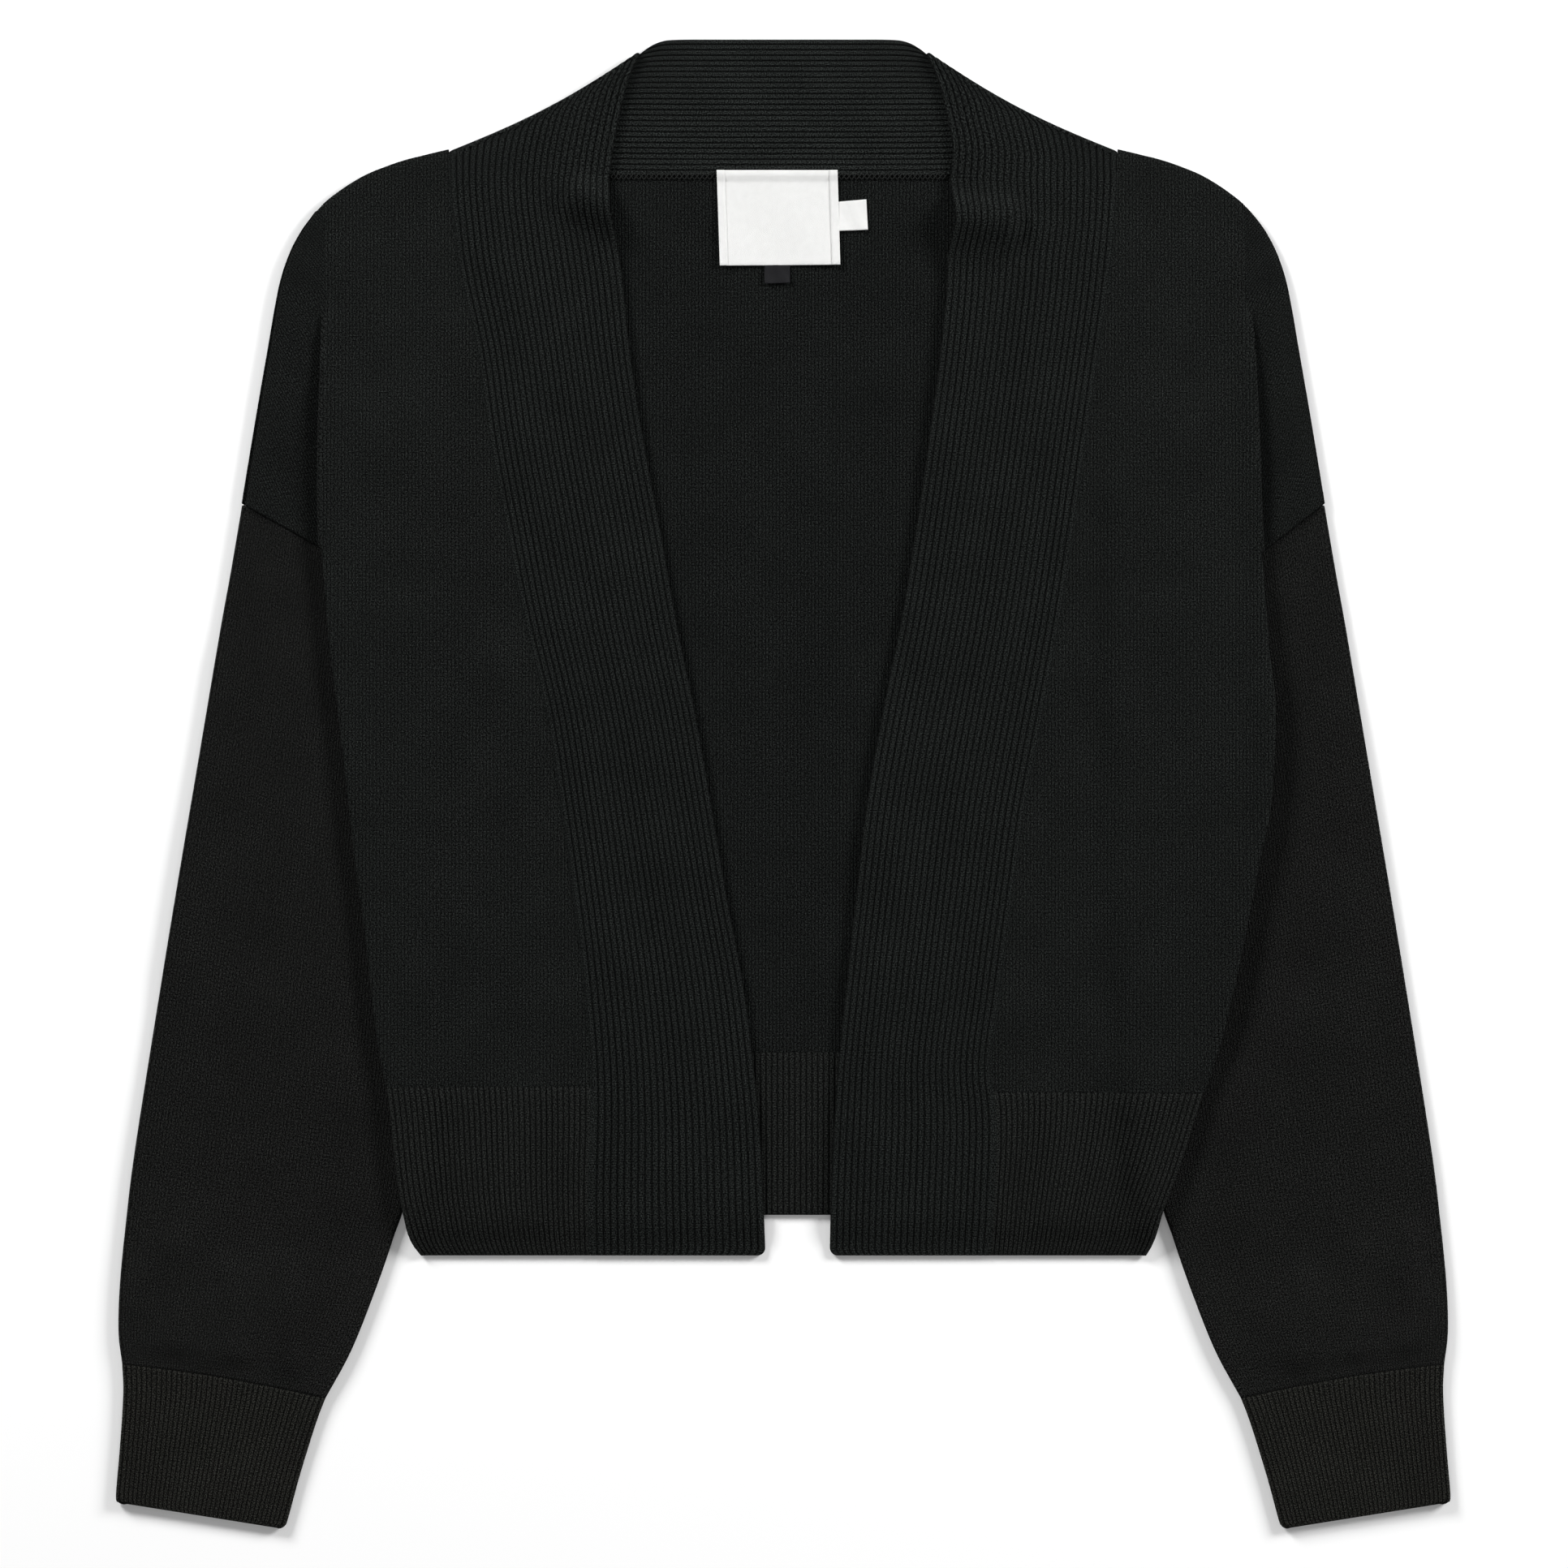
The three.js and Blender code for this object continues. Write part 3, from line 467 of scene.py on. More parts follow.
    def front(self, x: Array, y: Array) -> Array:
        """Underside of the upper layer, which hangs down to the surface beyond the back hem.

        Args:
            x: Places along X.
            y: Places along Y.

        Returns:
            The height of the layer's lowest face.
        """
        hang = self.front_base * smoothstep((self.overhang_start - y) / self.overhang_length)
        soft = self.soft(x, y) * smoothstep((y - self.hem_end) / self.hem_settle)
        return self.front_base - hang + self.lift(x, y) + soft


LAY = Lay()


def edge_fall(distance: Array, reach: float, depth: float) -> Array:
    """Quarter-round drop of a folded edge: full at the edge, none at reach from it."""
    inside = np.clip(1.0 - distance / reach, 0.0, 1.0)
    return depth * (1.0 - np.sqrt(1.0 - inside * inside))


def rounded(distance: Array, rim: float) -> Array:
    """Share of the thickness at a distance from a rim: sqrt(1 - (1 - distance / rim)^2), at most 1."""
    return np.sqrt(1 - np.clip(1 - distance / rim, 0, 1) ** 2)


def rim_rows(rim: float, steps: int = 3) -> Array:
    """Distances of rows round a rim: rim * (1 - cos a), where a goes through a quarter turn."""
    return rim * (1 - np.cos(np.linspace(0, math.pi / 2, steps + 1)))


def run_along(path: Array) -> Array:
    """Length along a path up to each of its points."""
    return np.concatenate([[0.0], np.cumsum(np.linalg.norm(np.diff(path, axis=0), axis=1))])


def grid(*parts: Array) -> Array:
    """Puts two or three arrays together as places or points."""
    return np.stack(np.broadcast_arrays(*parts), axis=-1)


def spread(
    side: Side, crease: Array, outline_y: Array, width: Array, distance: Array
) -> tuple[Array, Array]:
    """Places out from a crease, on straight lines from its points to the outline.

    Args:
        side: Which half.
        crease: Points up the crease.
        outline_y: Place along Y of the outline's point that belongs to each.
        width: Distance along X from each point of the crease to the outline.
        distance: Distances along X from the crease, one row for each of its points.

    Returns:
        The places along X and along Y.
    """
    along = np.where(width[:, None] > 0, distance / np.maximum(width[:, None], 1e-9), 1.0)
    x = side.value * (np.abs(crease[:, :1]) + distance)
    return x, crease[:, 1:2] + along * (outline_y - crease[:, 1])[:, None]


# Meshes


@dataclass
class Cloth:
    """A closed wall of cloth made from grids of points in its middle, joined where their points meet."""

    name: str
    points: list[Array] = field(default_factory=list)
    uvs: list[Array] = field(default_factory=list)
    halves: list[Array] = field(default_factory=list)
    quads: list[Array] = field(default_factory=list)
    count: int = 0

    def add(self, points: Array, uv: Array, up: Array, down: Array, flip: bool = False) -> None:
        """Adds a grid of the wall.

        Args:
            points: Middle of the wall, rows by columns by 3.
            uv: Place in the knit, rows by columns by 2, in millimetres.
            up: Thickness above the middle at each point.
            down: Thickness below the middle at each point.
            flip: True where the columns run to the left, which would turn the wall over.
        """
        if flip:
            points, uv, up, down = points[:, ::-1], uv[:, ::-1], up[:, ::-1], down[:, ::-1]
        rows, columns = points.shape[:2]
        index = np.arange(rows * columns).reshape(rows, columns) + self.count
        corners = [index[:-1, :-1], index[:-1, 1:], index[1:, 1:], index[1:, :-1]]
        self.quads.append(np.stack(corners, axis=-1).reshape(-1, 4))
        self.points.append(points.reshape(-1, 3))
        self.uvs.append(uv.reshape(-1, 2))
        self.halves.append(np.stack([up, down], axis=-1).reshape(-1, 2))
        self.count += rows * columns

    def build(self, material: bpy.types.Material, node: str, slot: str) -> bpy.types.Object:
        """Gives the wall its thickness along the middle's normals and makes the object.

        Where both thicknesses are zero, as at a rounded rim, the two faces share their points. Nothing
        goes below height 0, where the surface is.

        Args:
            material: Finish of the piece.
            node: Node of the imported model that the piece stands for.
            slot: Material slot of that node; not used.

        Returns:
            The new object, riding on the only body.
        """
        points = np.concatenate(self.points)
        uvs = np.concatenate(self.uvs)
        halves = np.concatenate(self.halves)
        quads = np.concatenate(self.quads)
        _, first, merged = np.unique(np.round(points, 4), axis=0, return_index=True, return_inverse=True)
        merged = merged.reshape(-1)
        place, half = points[first], halves[first]
        triangles = np.concatenate([quads[:, [0, 1, 2]], quads[:, [0, 2, 3]]])
        joined = merged[triangles]
        keep = has_area(joined)
        triangles, joined = triangles[keep], joined[keep]
        normal = vertex_normals(place, joined)
        top = place + normal * half[:, :1]
        bottom = place - normal * half[:, 1:]
        shared = half.sum(axis=1) < 1e-6
        under = np.where(shared, np.arange(len(place)), len(place) + np.arange(len(place)))
        vertices = np.concatenate([top, bottom])
        vertices[:, 2] = np.maximum(vertices[:, 2], 0.0)
        faces = np.concatenate([joined, under[joined[:, ::-1]]])
        loops = np.concatenate([uvs[triangles], uvs[triangles[:, ::-1]]]).reshape(-1, 2)
        faces, loops = close_rims(faces, loops, joined, under)
        used, faces = np.unique(faces, return_inverse=True)
        obj = mesh_object(self.name, vertices[used], faces.reshape(-1, 3), loops, material)
        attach(obj, "root")
        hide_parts(node)
        return obj


def has_area(triangles: Array) -> Array:
    """Tells for each triangle whether its three points differ."""
    a, b, c = triangles.T
    return (a != b) & (b != c) & (c != a)


def vertex_normals(points: Array, triangles: Array) -> Array:
    """Unit normals at points: the sum of the cross products of the faces round each.

    Args:
        points: Points, n by 3.
        triangles: Point numbers, m by 3.

    Returns:
        The normals, n by 3.
    """
    a, b, c = (points[triangles[:, i]] for i in range(3))
    cross = np.cross(b - a, c - a)
    normals = np.zeros_like(points)
    for i in range(3):
        np.add.at(normals, triangles[:, i], cross)
    length = np.linalg.norm(normals, axis=1, keepdims=True)
    return normals / np.maximum(length, 1e-12)


def close_rims(faces: Array, loops: Array, joined: Array, under: Array) -> tuple[Array, Array]:
    """Adds the faces between the upper and the lower wall along open borders that aren't rounded shut.

    Args:
        faces: All triangles so far.
        loops: Their places in the knit, one row for each corner.
        joined: Triangles of the upper wall.
        under: Lower point that belongs to each upper point.

    Returns:
        The triangles and the places, with the rims added.
    """
    edges = np.concatenate([joined[:, [0, 1]], joined[:, [1, 2]], joined[:, [2, 0]]])
    size = int(joined.max()) + 1
    forward = edges[:, 0] * size + edges[:, 1]
    backward = edges[:, 1] * size + edges[:, 0]
    border = edges[~np.isin(forward, backward)]
    a, b = border[:, 0], border[:, 1]
    rim = np.concatenate([np.stack([a, under[a], under[b]], 1), np.stack([a, under[b], b], 1)])
    rim = rim[has_area(rim)]
    return np.concatenate([faces, rim]), np.concatenate([loops, np.zeros((len(rim) * 3, 2))])


def mesh_object(
    name: str, points: Array, triangles: Array, uvs: Array, material: bpy.types.Material
) -> bpy.types.Object:
    """Makes a smooth-shaded object from points in millimetres.

    Args:
        name: Name of the object and its mesh.
        points: Points, n by 3.
        triangles: Point numbers, m by 3.
        uvs: Place of each corner in the knit, 3 m by 2, in millimetres.
        material: The piece's finish.

    Returns:
        The object, linked to the scene at the origin.
    """
    mesh = bpy.data.meshes.new(name)
    mesh.vertices.add(len(points))
    mesh.vertices.foreach_set("co", (points * MM).astype(np.float32).ravel())
    mesh.loops.add(triangles.size)
    mesh.loops.foreach_set("vertex_index", triangles.astype(np.int32).ravel())
    mesh.polygons.add(len(triangles))
    mesh.polygons.foreach_set("loop_start", np.arange(0, triangles.size, 3, dtype=np.int32))
    mesh.polygons.foreach_set("use_smooth", np.ones(len(triangles), bool))
    layer = mesh.uv_layers.new(name=UV_NAME)
    layer.data.foreach_set("uv", uvs.astype(np.float32).ravel())
    mesh.update(calc_edges=True)
    mesh.validate()
    mesh.materials.append(material)
    obj = bpy.data.objects.new(name, mesh)
    bpy.context.scene.collection.objects.link(obj)
    return obj


def tube(path: Array, radius: Array | float, sides: int = 8) -> tuple[Array, Array, Array]:
    """Carries a round profile along a path, with closed ends.

    The point at step s and angle a is path(s) + radius(s) * (cos a * side(s) + sin a * up(s)), where
    side is level and up is square to it and to the path.

    Args:
        path: Points, n by 3.
        radius: Radius at each point, or one for all.
        sides: Number of sides of the profile.

    Returns:
        Points, triangles, and a place for each corner that runs along and round the tube.
    """
    ahead = np.gradient(path, axis=0)
    ahead /= np.linalg.norm(ahead, axis=1, keepdims=True)
    side = np.cross(ahead, [0.0, 0.0, 1.0])
    side /= np.maximum(np.linalg.norm(side, axis=1, keepdims=True), 1e-9)
    up = np.cross(side, ahead)
    angle = np.linspace(0, 2 * math.pi, sides, endpoint=False)
    size = np.broadcast_to(np.asarray(radius, float), (len(path),))[:, None, None]
    ring = np.cos(angle)[None, :, None] * side[:, None] + np.sin(angle)[None, :, None] * up[:, None]
    points = np.concatenate([(path[:, None] + size * ring).reshape(-1, 3), path[:1], path[-1:]])
    rows, around = np.meshgrid(np.arange(len(path) - 1), np.arange(sides), indexing="ij")
    after = (around + 1) % sides
    a, b = rows * sides + around, rows * sides + after
    c, d = (rows + 1) * sides + after, (rows + 1) * sides + around
    body = np.concatenate([np.stack([a, c, b], -1).reshape(-1, 3), np.stack([a, d, c], -1).reshape(-1, 3)])
    k, turn = np.arange(sides), (np.arange(sides) + 1) % sides
    start, end = len(path) * sides, len(path) * sides + 1
    last = (len(path) - 1) * sides
    first_cap = np.stack([np.full(sides, start), k, turn], -1)
    last_cap = np.stack([np.full(sides, end), last + turn, last + k], -1)
    triangles = np.concatenate([body, first_cap, last_cap])
    run = run_along(path)
    along = np.concatenate([np.repeat(run, sides), [0.0, run[-1]]])
    round_it = np.concatenate([np.tile(angle, len(path)), [0.0, 0.0]])
    uvs = np.stack([round_it[triangles].ravel(), along[triangles].ravel()], -1)
    return points, triangles, uvs


# Finishes


class Nodes:
    """A node tree, with short ways of adding to it."""

    def __init__(self, tree: bpy.types.NodeTree) -> None:
        """Takes the tree that the nodes go into."""
        self.tree = tree

    def give(self, socket: bpy.types.NodeSocket, value: object) -> None:
        """Links another node's output to an input, or sets the input to a number or a colour.

        Args:
            socket: The input.
            value: The output, the number or the colour.
        """
        if isinstance(value, bpy.types.NodeSocket):
            self.tree.links.new(value, socket)
        else:
            socket.default_value = value

    def add(self, kind: str, inputs: dict[str, object], **settings: object) -> bpy.types.NodeOutputs:
        """Adds a shader node.

        Args:
            kind: The node's type, without the words that begin every shader node's type.
            inputs: What each named input is given.
            settings: The node's own properties.

        Returns:
            The node's outputs.
        """
        node = self.tree.nodes.new(f"ShaderNode{kind}")
        for name, value in settings.items():
            setattr(node, name, value)
        for name, value in inputs.items():
            self.give(node.inputs[name], value)
        return node.outputs

    def math(self, operation: str, *operands: object) -> bpy.types.NodeSocket:
        """Adds a Math node.

        Args:
            operation: Name of the operation.
            operands: Up to three outputs or numbers.

        Returns:
            The node's output.
        """
        node = self.tree.nodes.new("ShaderNodeMath")
        node.operation = operation
        for socket, operand in zip(node.inputs, operands):
            self.give(socket, operand)
        return node.outputs[0]


LEG_PLACE = 0.42
LEG_SLOPE = 1.7
COURSE_DEPTH = 0.35
GROOVE_POWER = 0.8


def draw_stitches(nodes: Nodes, given: bpy.types.NodeOutputs) -> dict[str, object]:
    """Draws knit stitches.

    In each wale two legs lean away from its middle, so that the courses read as rows of V shapes. The
    height is high along the middle of each leg and low between wales and between courses.

    Args:
        nodes: The group's tree.
        given: The group's inputs.

    Returns:
        Height, Groove, which is 1 between wales, and Row, which is 1 in the middle of each course and
        0 between two of them.
    """
    place = nodes.add("SeparateXYZ", {"Vector": given["Place"]})
    across = nodes.math("FRACT", nodes.math("DIVIDE", place[0], given["Wale"]))
    from_middle = nodes.math("ABSOLUTE", nodes.math("MULTIPLY_ADD", across, 2.0, -1.0))
    rise = nodes.math("DIVIDE", place[1], given["Course"])
    phase = nodes.math("MULTIPLY_ADD", from_middle, given["Lean"], rise)
    wave = nodes.math("COSINE", nodes.math("MULTIPLY", phase, 2 * math.pi))
    row = nodes.math("MULTIPLY_ADD", wave, 0.5, 0.5)
    off_leg = nodes.math("MULTIPLY", nodes.math("SUBTRACT", from_middle, LEG_PLACE), LEG_SLOPE)
    bend = nodes.math("SUBTRACT", 1.0, nodes.math("MULTIPLY", off_leg, off_leg))
    leg = nodes.math("MAXIMUM", bend, 0.0)
    height = nodes.math("MULTIPLY", leg, nodes.math("MULTIPLY_ADD", row, COURSE_DEPTH, 1 - COURSE_DEPTH))
    start = nodes.math("SUBTRACT", 1.0, given["Groove Width"])
    past = nodes.math("MAXIMUM", nodes.math("SUBTRACT", from_middle, start), 0.0)
    groove = nodes.math("POWER", nodes.math("DIVIDE", past, given["Groove Width"]), GROOVE_POWER)
    return {"Height": height, "Groove": groove, "Row": row}


def draw_nap(nodes: Nodes, given: bpy.types.NodeOutputs) -> dict[str, object]:
    """Draws fine stray fibres and slow changes of tone, each as a noise of its own scale.

    Args:
        nodes: The group's tree.
        given: The group's inputs.

    Returns:
        Fibre and Mottle.
    """
    result = {}
    for name, detail in (("Fibre", 1.5), ("Mottle", 4.0)):
        inputs = {"Vector": given["Place"], "Scale": given[f"{name} Scale"], "Detail": detail}
        result[name] = nodes.add("TexNoise", inputs, noise_dimensions="2D")[0]
    return result


@dataclass(frozen=True)
class Group:
    """A node group that works from the place in the knit and from other numbers."""

    name: str
    numbers: dict[str, float]
    outputs: tuple[str, ...]
    draw: Callable[[Nodes, bpy.types.NodeOutputs], dict[str, object]]

    def make(self) -> bpy.types.NodeTree:
        """Makes the group, or finds it if it is there.

        Returns:
            The group.
        """
        if self.name in bpy.data.node_groups:
            return bpy.data.node_groups[self.name]
        tree = bpy.data.node_groups.new(self.name, "ShaderNodeTree")
        face = tree.interface
        face.new_socket(name="Place", in_out="INPUT", socket_type="NodeSocketVector")
        for name, value in self.numbers.items():
            socket = face.new_socket(name=name, in_out="INPUT", socket_type="NodeSocketFloat")
            socket.default_value = value
        for name in self.outputs:
            face.new_socket(name=name, in_out="OUTPUT", socket_type="NodeSocketFloat")
        nodes = Nodes(tree)
        given = tree.nodes.new("NodeGroupInput").outputs
        result = tree.nodes.new("NodeGroupOutput").inputs
        for name, value in self.draw(nodes, given).items():
            nodes.give(result[name], value)
        return tree


STITCH_SIZES = {"Wale": 1.5, "Course": 1.6, "Lean": 0.55, "Groove Width": 0.3}
STITCHES = Group("knit_stitches", STITCH_SIZES, ("Height", "Groove", "Row"), draw_stitches)
NAP = Group("yarn_nap", {"Fibre Scale": 1.8, "Mottle Scale": 0.04}, ("Fibre", "Mottle"), draw_nap)


class Paint(Nodes):
    """A new material with its Principled shader."""

    def __init__(self, name: str) -> None:
        """Makes the material and finds its shader.

        Args:
            name: Name of the material.
        """
        self.material = bpy.data.materials.new(name)
        self.material.use_nodes = True
        super().__init__(self.material.node_tree)
        self.shader = next(node for node in self.tree.nodes if node.type == "BSDF_PRINCIPLED")

    def set(self, values: dict[str, object]) -> None:
        """Gives the shader's named inputs their values."""
        for name, value in values.items():
            self.give(self.shader.inputs[name], value)

    def place(self) -> bpy.types.NodeSocket:
        """Adds the place in the piece's knit."""
        return self.add("UVMap", {}, uv_map=UV_NAME)[0]

    def group(
        self, group: Group, place: bpy.types.NodeSocket, numbers: dict[str, float]
    ) -> bpy.types.NodeOutputs:
        """Adds a node group.

        Args:
            group: The group.
            place: The place in the knit.
            numbers: Its other inputs, where they aren't the usual ones.

        Returns:
            The group's outputs.
        """
        return self.add("Group", {"Place": place, **numbers}, node_tree=group.make())

    def tint(self, colour: tuple[float, float, float], factor: bpy.types.NodeSocket) -> None:
        """Makes the base colour the given one times a factor."""
        scaled = self.add("VectorMath", {"Vector": colour, "Scale": factor}, operation="SCALE")
        self.set({"Base Color": scaled[0]})

    def bump(self, height: bpy.types.NodeSocket, distance: float) -> None:
        """Lifts the surface in the shading, by a height of 0 to 1 times a distance."""
        self.set({"Normal": self.add("Bump", {"Height": height, "Distance": distance})[0]})


@dataclass(frozen=True)
class KnitFinish:
    """Fine black knit: stitches with painted shade, a nap of stray fibres and slow changes of tone."""

    name: str
    colour: tuple[float, float, float] = (0.0098, 0.0109, 0.0103)
    wale: float = 1.53
    course: float = 1.62
    lean: float = 0.55
    groove_width: float = 0.4
    # The next two numbers set painted shade: in the grooves between wales and between courses.
    groove_shade: float = 0.55
    row_shade: float = 0.22
    fibre_gain: float = 6.5
    fibre_low: float = 0.12
    fibre_relief: float = 0.6
    mottle: float = 0.4
    relief: float = 0.00045
    roughness: float = 0.95
    gloss: float = 0.025
    sheen: float = 0.06
    sheen_tint: float = 0.08
    pulled_from: float = 0.0
    # Extra painted shade in the grooves of the pulled strip, beyond pulled_from.
    pulled_groove_shade: float = 0.3
    pale_gain: float = 0.0
    pale_place: float = 610.0
    pale_reach: float = 150.0

    def make(self) -> bpy.types.Material:
        """Builds the material.

        The colour is the base colour times five factors: 1 - groove_shade * Groove, painted shade in the
        grooves between wales, 1 - row_shade * (1 - Row), painted shade between courses, the fibres, whose
        contrast is fibre_gain, the slow mottle, and a gain that falls smoothly from 1 + pale_gain at
        pale_place along the piece to 1 at pale_reach from there. Where the knit is pulled sideways, at
        places beyond pulled_from, more shade is painted into its grooves.

        Returns:
            The finished material.
        """
        paint = Paint(self.name)
        place = paint.place()
        across, along, _ = paint.add("SeparateXYZ", {"Vector": place})
        sizes = {"Wale": self.wale, "Course": self.course, "Lean": self.lean}
        sizes["Groove Width"] = self.groove_width
        stitches = paint.group(STITCHES, place, sizes)
        nap = paint.group(NAP, place, {})
        # Painted shade: the grooves between wales are darkened in the colour, more on the pulled strip.
        depth = -self.groove_shade
        if self.pulled_from:
            pulled = paint.math("GREATER_THAN", across, self.pulled_from)
            depth = paint.math("MULTIPLY_ADD", pulled, -self.pulled_groove_shade, -self.groove_shade)
        groove_shading = paint.math("MULTIPLY_ADD", stitches["Groove"], depth, 1.0)
        # Painted shade between courses.
        row = paint.math("MULTIPLY_ADD", stitches["Row"], self.row_shade, 1 - self.row_shade)
        cloud = paint.math("MULTIPLY_ADD", nap["Mottle"], self.mottle, 1 - self.mottle / 2)
        fibres = paint.math("MULTIPLY_ADD", nap["Fibre"], self.fibre_gain, 1 - self.fibre_gain / 2)
        grain = paint.math("MAXIMUM", fibres, self.fibre_low)
        knit = paint.math("MULTIPLY", groove_shading, row)
        factor = paint.math("MULTIPLY", knit, paint.math("MULTIPLY", cloud, grain))
        if self.pale_gain:
            away = paint.math("ABSOLUTE", paint.math("SUBTRACT", along, self.pale_place))
            ends = {"Value": away, "From Min": 0.0, "From Max": self.pale_reach, "To Max": 1.0}
            ends["To Min"] = 1 + self.pale_gain
            paler = paint.add("MapRange", ends, interpolation_type="SMOOTHSTEP")
            factor = paint.math("MULTIPLY", factor, paler[0])
        paint.tint(self.colour, factor)
        surface = paint.math("MULTIPLY_ADD", nap["Fibre"], self.fibre_relief, stitches["Height"])
        paint.bump(surface, self.relief)
        paint.set({
            "Roughness": self.roughness, "Specular IOR Level": self.gloss, "Sheen Weight": self.sheen,
            "Sheen Roughness": 0.5, "Sheen Tint": (self.sheen_tint, self.sheen_tint, self.sheen_tint, 1.0),
        })
        return paint.material


@dataclass(frozen=True)
class RibFinish(KnitFinish):
    """The same knit in ribs: one wale stands up in each rib, with painted shade in the groove beside it."""

    colour: tuple[float, float, float] = (0.0118, 0.0127, 0.0119)
    course: float = 1.15
    groove_width: float = 0.5
    # Deeper painted shade in the rib grooves and between courses than on plain knit.
    groove_shade: float = 0.8
    row_shade: float = 0.28
    relief: float = 0.0004


@dataclass(frozen=True)
class RibbonFinish:
    """Woven ribbon: fine crossing threads with a soft gloss."""

    name: str
    colour: tuple[float, float, float]
    roughness: float = 0.45
    gloss: float = 0.3
    thread: float = 0.32
    weft_share: float = 0.8
    weave_tone: float = 0.06
    low_tone: float = 0.90
    mottle_tone: float = 0.08
    relief: float = 0.00008

    def make(self) -> bpy.types.Material:
        """Builds the material: warp and weft as two crossed waves that lift and darken the threads.

        Returns:
            The finished material.
        """
        paint = Paint(self.name)
        place = paint.place()
        across, along, _ = paint.add("SeparateXYZ", {"Vector": place})
        turn = 2 * math.pi / self.thread
        warp = paint.math("SINE", paint.math("MULTIPLY", across, turn))
        weft = paint.math("SINE", paint.math("MULTIPLY", along, turn * self.weft_share))
        weave = paint.math("MULTIPLY_ADD", paint.math("MULTIPLY", warp, weft), 0.5, 0.5)
        nap = paint.group(NAP, place, {"Mottle Scale": 0.3})
        tone = paint.math("MULTIPLY_ADD", weave, self.weave_tone, self.low_tone)
        paint.tint(self.colour, paint.math("MULTIPLY_ADD", nap["Mottle"], self.mottle_tone, tone))
        paint.bump(weave, self.relief)
        paint.set({"Roughness": self.roughness, "Specular IOR Level": self.gloss})
        return paint.material


@dataclass(frozen=True)
class ThreadFinish:
    """Twisted linking yarn, a little lighter than the knit where it lies on the surface."""

    name: str
    colour: tuple[float, float, float] = (0.0175, 0.0185, 0.0178)
    twist: float = 7.0
    plies: float = 2.0
    low_tone: float = 0.6
    ply_tone: float = 0.5
    relief: float = 0.0001

    def make(self) -> bpy.types.Material:
        """Builds the material: a slanting wave round and along the yarn gives its twist.

        Returns:
            The finished material.
        """
        paint = Paint(self.name)
        across, along, _ = paint.add("SeparateXYZ", {"Vector": paint.place()})
        twist = paint.math("MULTIPLY_ADD", along, self.twist, paint.math("MULTIPLY", across, self.plies))
        ply = paint.math("MULTIPLY_ADD", paint.math("SINE", twist), 0.5, 0.5)
        paint.tint(self.colour, paint.math("MULTIPLY_ADD", ply, self.ply_tone, self.low_tone))
        paint.bump(ply, self.relief)
        paint.set({"Roughness": 0.9, "Specular IOR Level": 0.03})
        return paint.material


# Pieces


RIB_COLUMNS = 6
PULLED_PLACE = 2000.0
NEAR_SEAM = np.array([-1.2, -0.5, 0.0, 0.5, 1.2])
SEAM_ROOM = 0.8
ON_SEAM = 0.1
BACK_HEM_TOP = -116.7
BACK_HEM_END = -187.4


@dataclass
class Wardrobe:
    """The finishes that the pieces are made in."""

    jersey: bpy.types.Material
    back_jersey: bpy.types.Material
    sleeve_jersey: bpy.types.Material
    band_rib: bpy.types.Material
    hem_rib: bpy.types.Material
    cuff_rib: bpy.types.Material
    yarn: bpy.types.Material
    white: bpy.types.Material
    dark: bpy.types.Material


def rib_profile(place: Array) -> Array:
    """Rounded rib with a narrow groove on each side: 1 - |2 p - 1|^3 across one rib, p from 0 to 1."""
    across = place - np.floor(place)
    return 1.0 - np.abs(2.0 * across - 1.0) ** 3


def panel_rows(start: float, near: Array, rim: float, step: float) -> Array:
    """Rows of a panel, with rounded ends and given rows at the sleeve's seam.

    Args:
        start: The lowest row.
        near: Rows that are given.
        rim: Size of the rounded ends.
        step: Distance of the other rows.

    Returns:
        All rows, in rising order.
    """
    even = np.arange(start + rim, LAY.summit - rim, step)
    even = even[np.min(np.abs(even[:, None] - near[None]), axis=1) > SEAM_ROOM]
    rims = rim_rows(rim)[:-1]
    return np.sort(np.concatenate([even, near, start + rims, LAY.summit - rims, [LAY.summit - rim]]))


